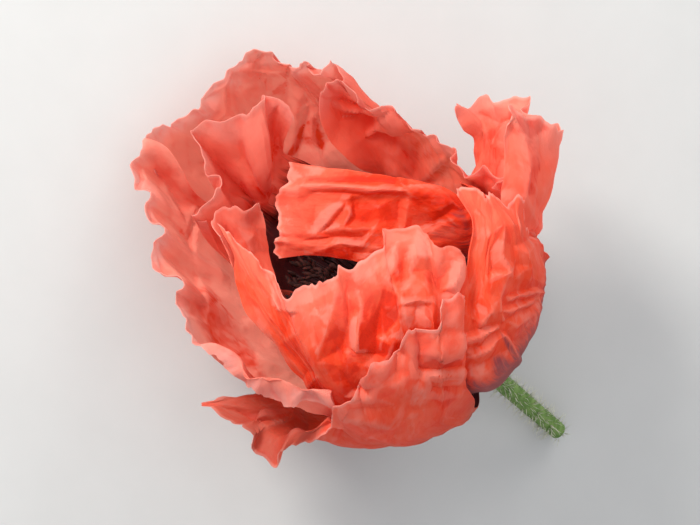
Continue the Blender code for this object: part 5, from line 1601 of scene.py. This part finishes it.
def add_stamens(filament, anther):
    rng = np.random.default_rng(STAMEN_SEED)
    golden_angle = math.pi * (3 - math.sqrt(5))
    stalks, tips = [], []
    for number in range(STAMENS):
        azimuth = number * golden_angle
        path = stamen_path(azimuth, (number % STAMEN_ROWS) / (STAMEN_ROWS - 1), rng)
        stalks.append((path, np.linspace(*FILAMENT_TAPER, len(path)) * FILAMENT_RADIUS))
        way = path[-1] - path[-2]
        way = way / np.linalg.norm(way) + rng.normal(0, ANTHER_SCATTER, 3)
        way *= ANTHER_LENGTH / np.linalg.norm(way)
        spine = np.array([path[-1] + way * (part - ANTHER_BELOW) for part, _ in ANTHER_RINGS])
        tips.append((spine, [ANTHER_RADIUS * share for _, share in ANTHER_RINGS]))
    add_tubes("filaments", stalks, FILAMENT_SIDES, filament, "stamens")
    add_tubes("anthers", tips, ANTHER_SIDES, anther, None)


def add_turned(name, profile, wave, material, slot):
    """A closed turned body with a wavy outline, which replaces the node that its slot names."""
    turns = np.arange(SEED_SIDES) * 2 * math.pi / SEED_SIDES
    rings = [
        [round_axis(height, radius * wave(turn, part), turn) for turn in turns]
        for (height, radius), part in zip(profile, np.linspace(0, 1, len(profile)))
    ]
    faces = tube_faces(len(rings), SEED_SIDES, 0)
    add_body(name, np.array(rings).reshape(-1, 3), faces, material, slot)


def ribbed(turn, _):
    return 1 + RIBBING_DEPTH * math.cos(RAYS * turn)


def scalloped(turn, part):
    return 1 + RAY_DEPTH * math.cos(RAYS * turn) * (1 if part < DISC_TOP_FROM else DISC_TOP_SHARE)


def add_seed_head(green, velvet):
    add_turned("seed_head", OVARY_PROFILE, ribbed, green, "ovary")
    add_turned("disc", DISC_PROFILE, scalloped, velvet, "stigma_disc")
    rays = []
    for ray in range(RAYS):
        turn = 2 * math.pi * ray / RAYS
        path = np.array([round_axis(height + RAY_LIFT, radius, turn) for height, radius in RAY_PROFILE])
        rays.append((path, RAY_RADII))
    add_tubes("disc_rays", rays, RAY_SIDES, velvet, None)


def add_bristles(material):
    """Bristles all round the stem, apart from where they would reach the table."""
    rng = np.random.default_rng(BRISTLE_SEED)
    foot = STEM_FOOT + FOOT_MARGIN
    tubes = []
    while len(tubes) < BRISTLES:
        height, azimuth = rng.uniform(foot, STEM_TOP), rng.uniform(-math.pi, math.pi)
        root = round_axis(height, STEM_RADIUS - BRISTLE_ROOT, azimuth)
        out = round_axis(0, 1, azimuth) + AXIS * rng.normal(*BRISTLE_RISE)
        side = np.cross(AXIS, out) * rng.normal(0, BRISTLE_CURL)
        length = rng.uniform(*BRISTLE_LENGTH)
        path = [root + out * length * part + side * length * part ** 2 for part, _ in BRISTLE_RINGS]
        path = np.array(path)
        if on_table(path)[:, 2].min() > BRISTLE_CLEAR * MM:
            tubes.append((path, [BRISTLE_RADIUS * share for _, share in BRISTLE_RINGS]))
    add_tubes("stem_bristles", tubes, BRISTLE_SIDES, material, None)


def add_area_light(name, place, energy, size, colour):
    """A square soft light at a place in the bloom's frame, aimed at the bowl's centre."""
    light = bpy.data.lights.new(name, "AREA")
    light.energy = energy
    light.size = size
    light.color = colour
    lamp = bpy.data.objects.new(name, light)
    lamp.location = on_table(np.array(place))
    aim = Vector(on_table(np.zeros(3))) - lamp.location
    lamp.rotation_euler = aim.to_track_quat("-Z", "Y").to_euler()
    bpy.context.scene.collection.objects.link(lamp)


def add_camera():
    data = bpy.data.cameras.new("camera")
    data.lens = LENS_MM
    data.sensor_width = SENSOR_MM
    camera = bpy.data.objects.new("camera", data)
    turn = Matrix(TO_TABLE.tolist()).to_4x4()
    camera.matrix_world = Matrix.Translation(on_table((VIEW_X, VIEW_Y, VIEW_DISTANCE))) @ turn
    bpy.context.scene.collection.objects.link(camera)
    bpy.context.scene.camera = camera


def add_floor():
    mesh = bpy.data.meshes.new("floor")
    shape = bmesh.new()
    bmesh.ops.create_grid(shape, x_segments=1, y_segments=1, size=FLOOR_HALF)
    shape.to_mesh(mesh)
    shape.free()
    graph = Graph("floor")
    place = graph.add("ShaderNodeTexCoord").outputs["Object"]
    graph.set(graph.shader, "Base Color", graph.mix(graph.noise(place, *FLOOR_NOISE), *FLOOR_COLOURS))
    graph.shader.inputs["Roughness"].default_value = FLOOR_ROUGHNESS
    mesh.materials.append(graph.material)
    floor = bpy.data.objects.new("floor", mesh)
    bpy.context.scene.collection.objects.link(floor)


def add_world():
    world = bpy.data.worlds.new("studio")
    world.use_nodes = True
    sky = world.node_tree.nodes["Background"]
    sky.inputs["Color"].default_value = SKY_COLOUR
    sky.inputs["Strength"].default_value = SKY_STRENGTH
    bpy.context.scene.world = world
    bpy.context.scene.view_settings.view_transform = "Standard"


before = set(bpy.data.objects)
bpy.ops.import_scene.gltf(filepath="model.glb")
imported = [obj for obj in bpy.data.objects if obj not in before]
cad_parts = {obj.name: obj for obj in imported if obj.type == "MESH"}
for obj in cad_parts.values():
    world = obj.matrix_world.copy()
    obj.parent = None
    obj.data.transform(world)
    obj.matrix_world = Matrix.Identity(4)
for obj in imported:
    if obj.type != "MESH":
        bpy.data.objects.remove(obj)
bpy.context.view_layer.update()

for number, (name, ribs) in enumerate(PETALS):
    looks = petal_material("petal_" + name, NOISE_STEP * number, *PETAL_LOOKS[name])
    add_petal(name, ribs, FIRST_SEED + number, looks)

tissues = {name: tissue_material(name, *looks) for name, looks in TISSUES.items()}
add_stamens(tissues["filament"], tissues["anther"])
add_seed_head(tissues["seed_head"], tissues["disc_velvet"])
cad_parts["stem"].data.materials.clear()
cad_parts["stem"].data.materials.append(tissues["stem_skin"])
add_bristles(tissues["bristle"])

add_floor()
add_world()
add_camera()
for light in LIGHTS:
    add_area_light(*light)
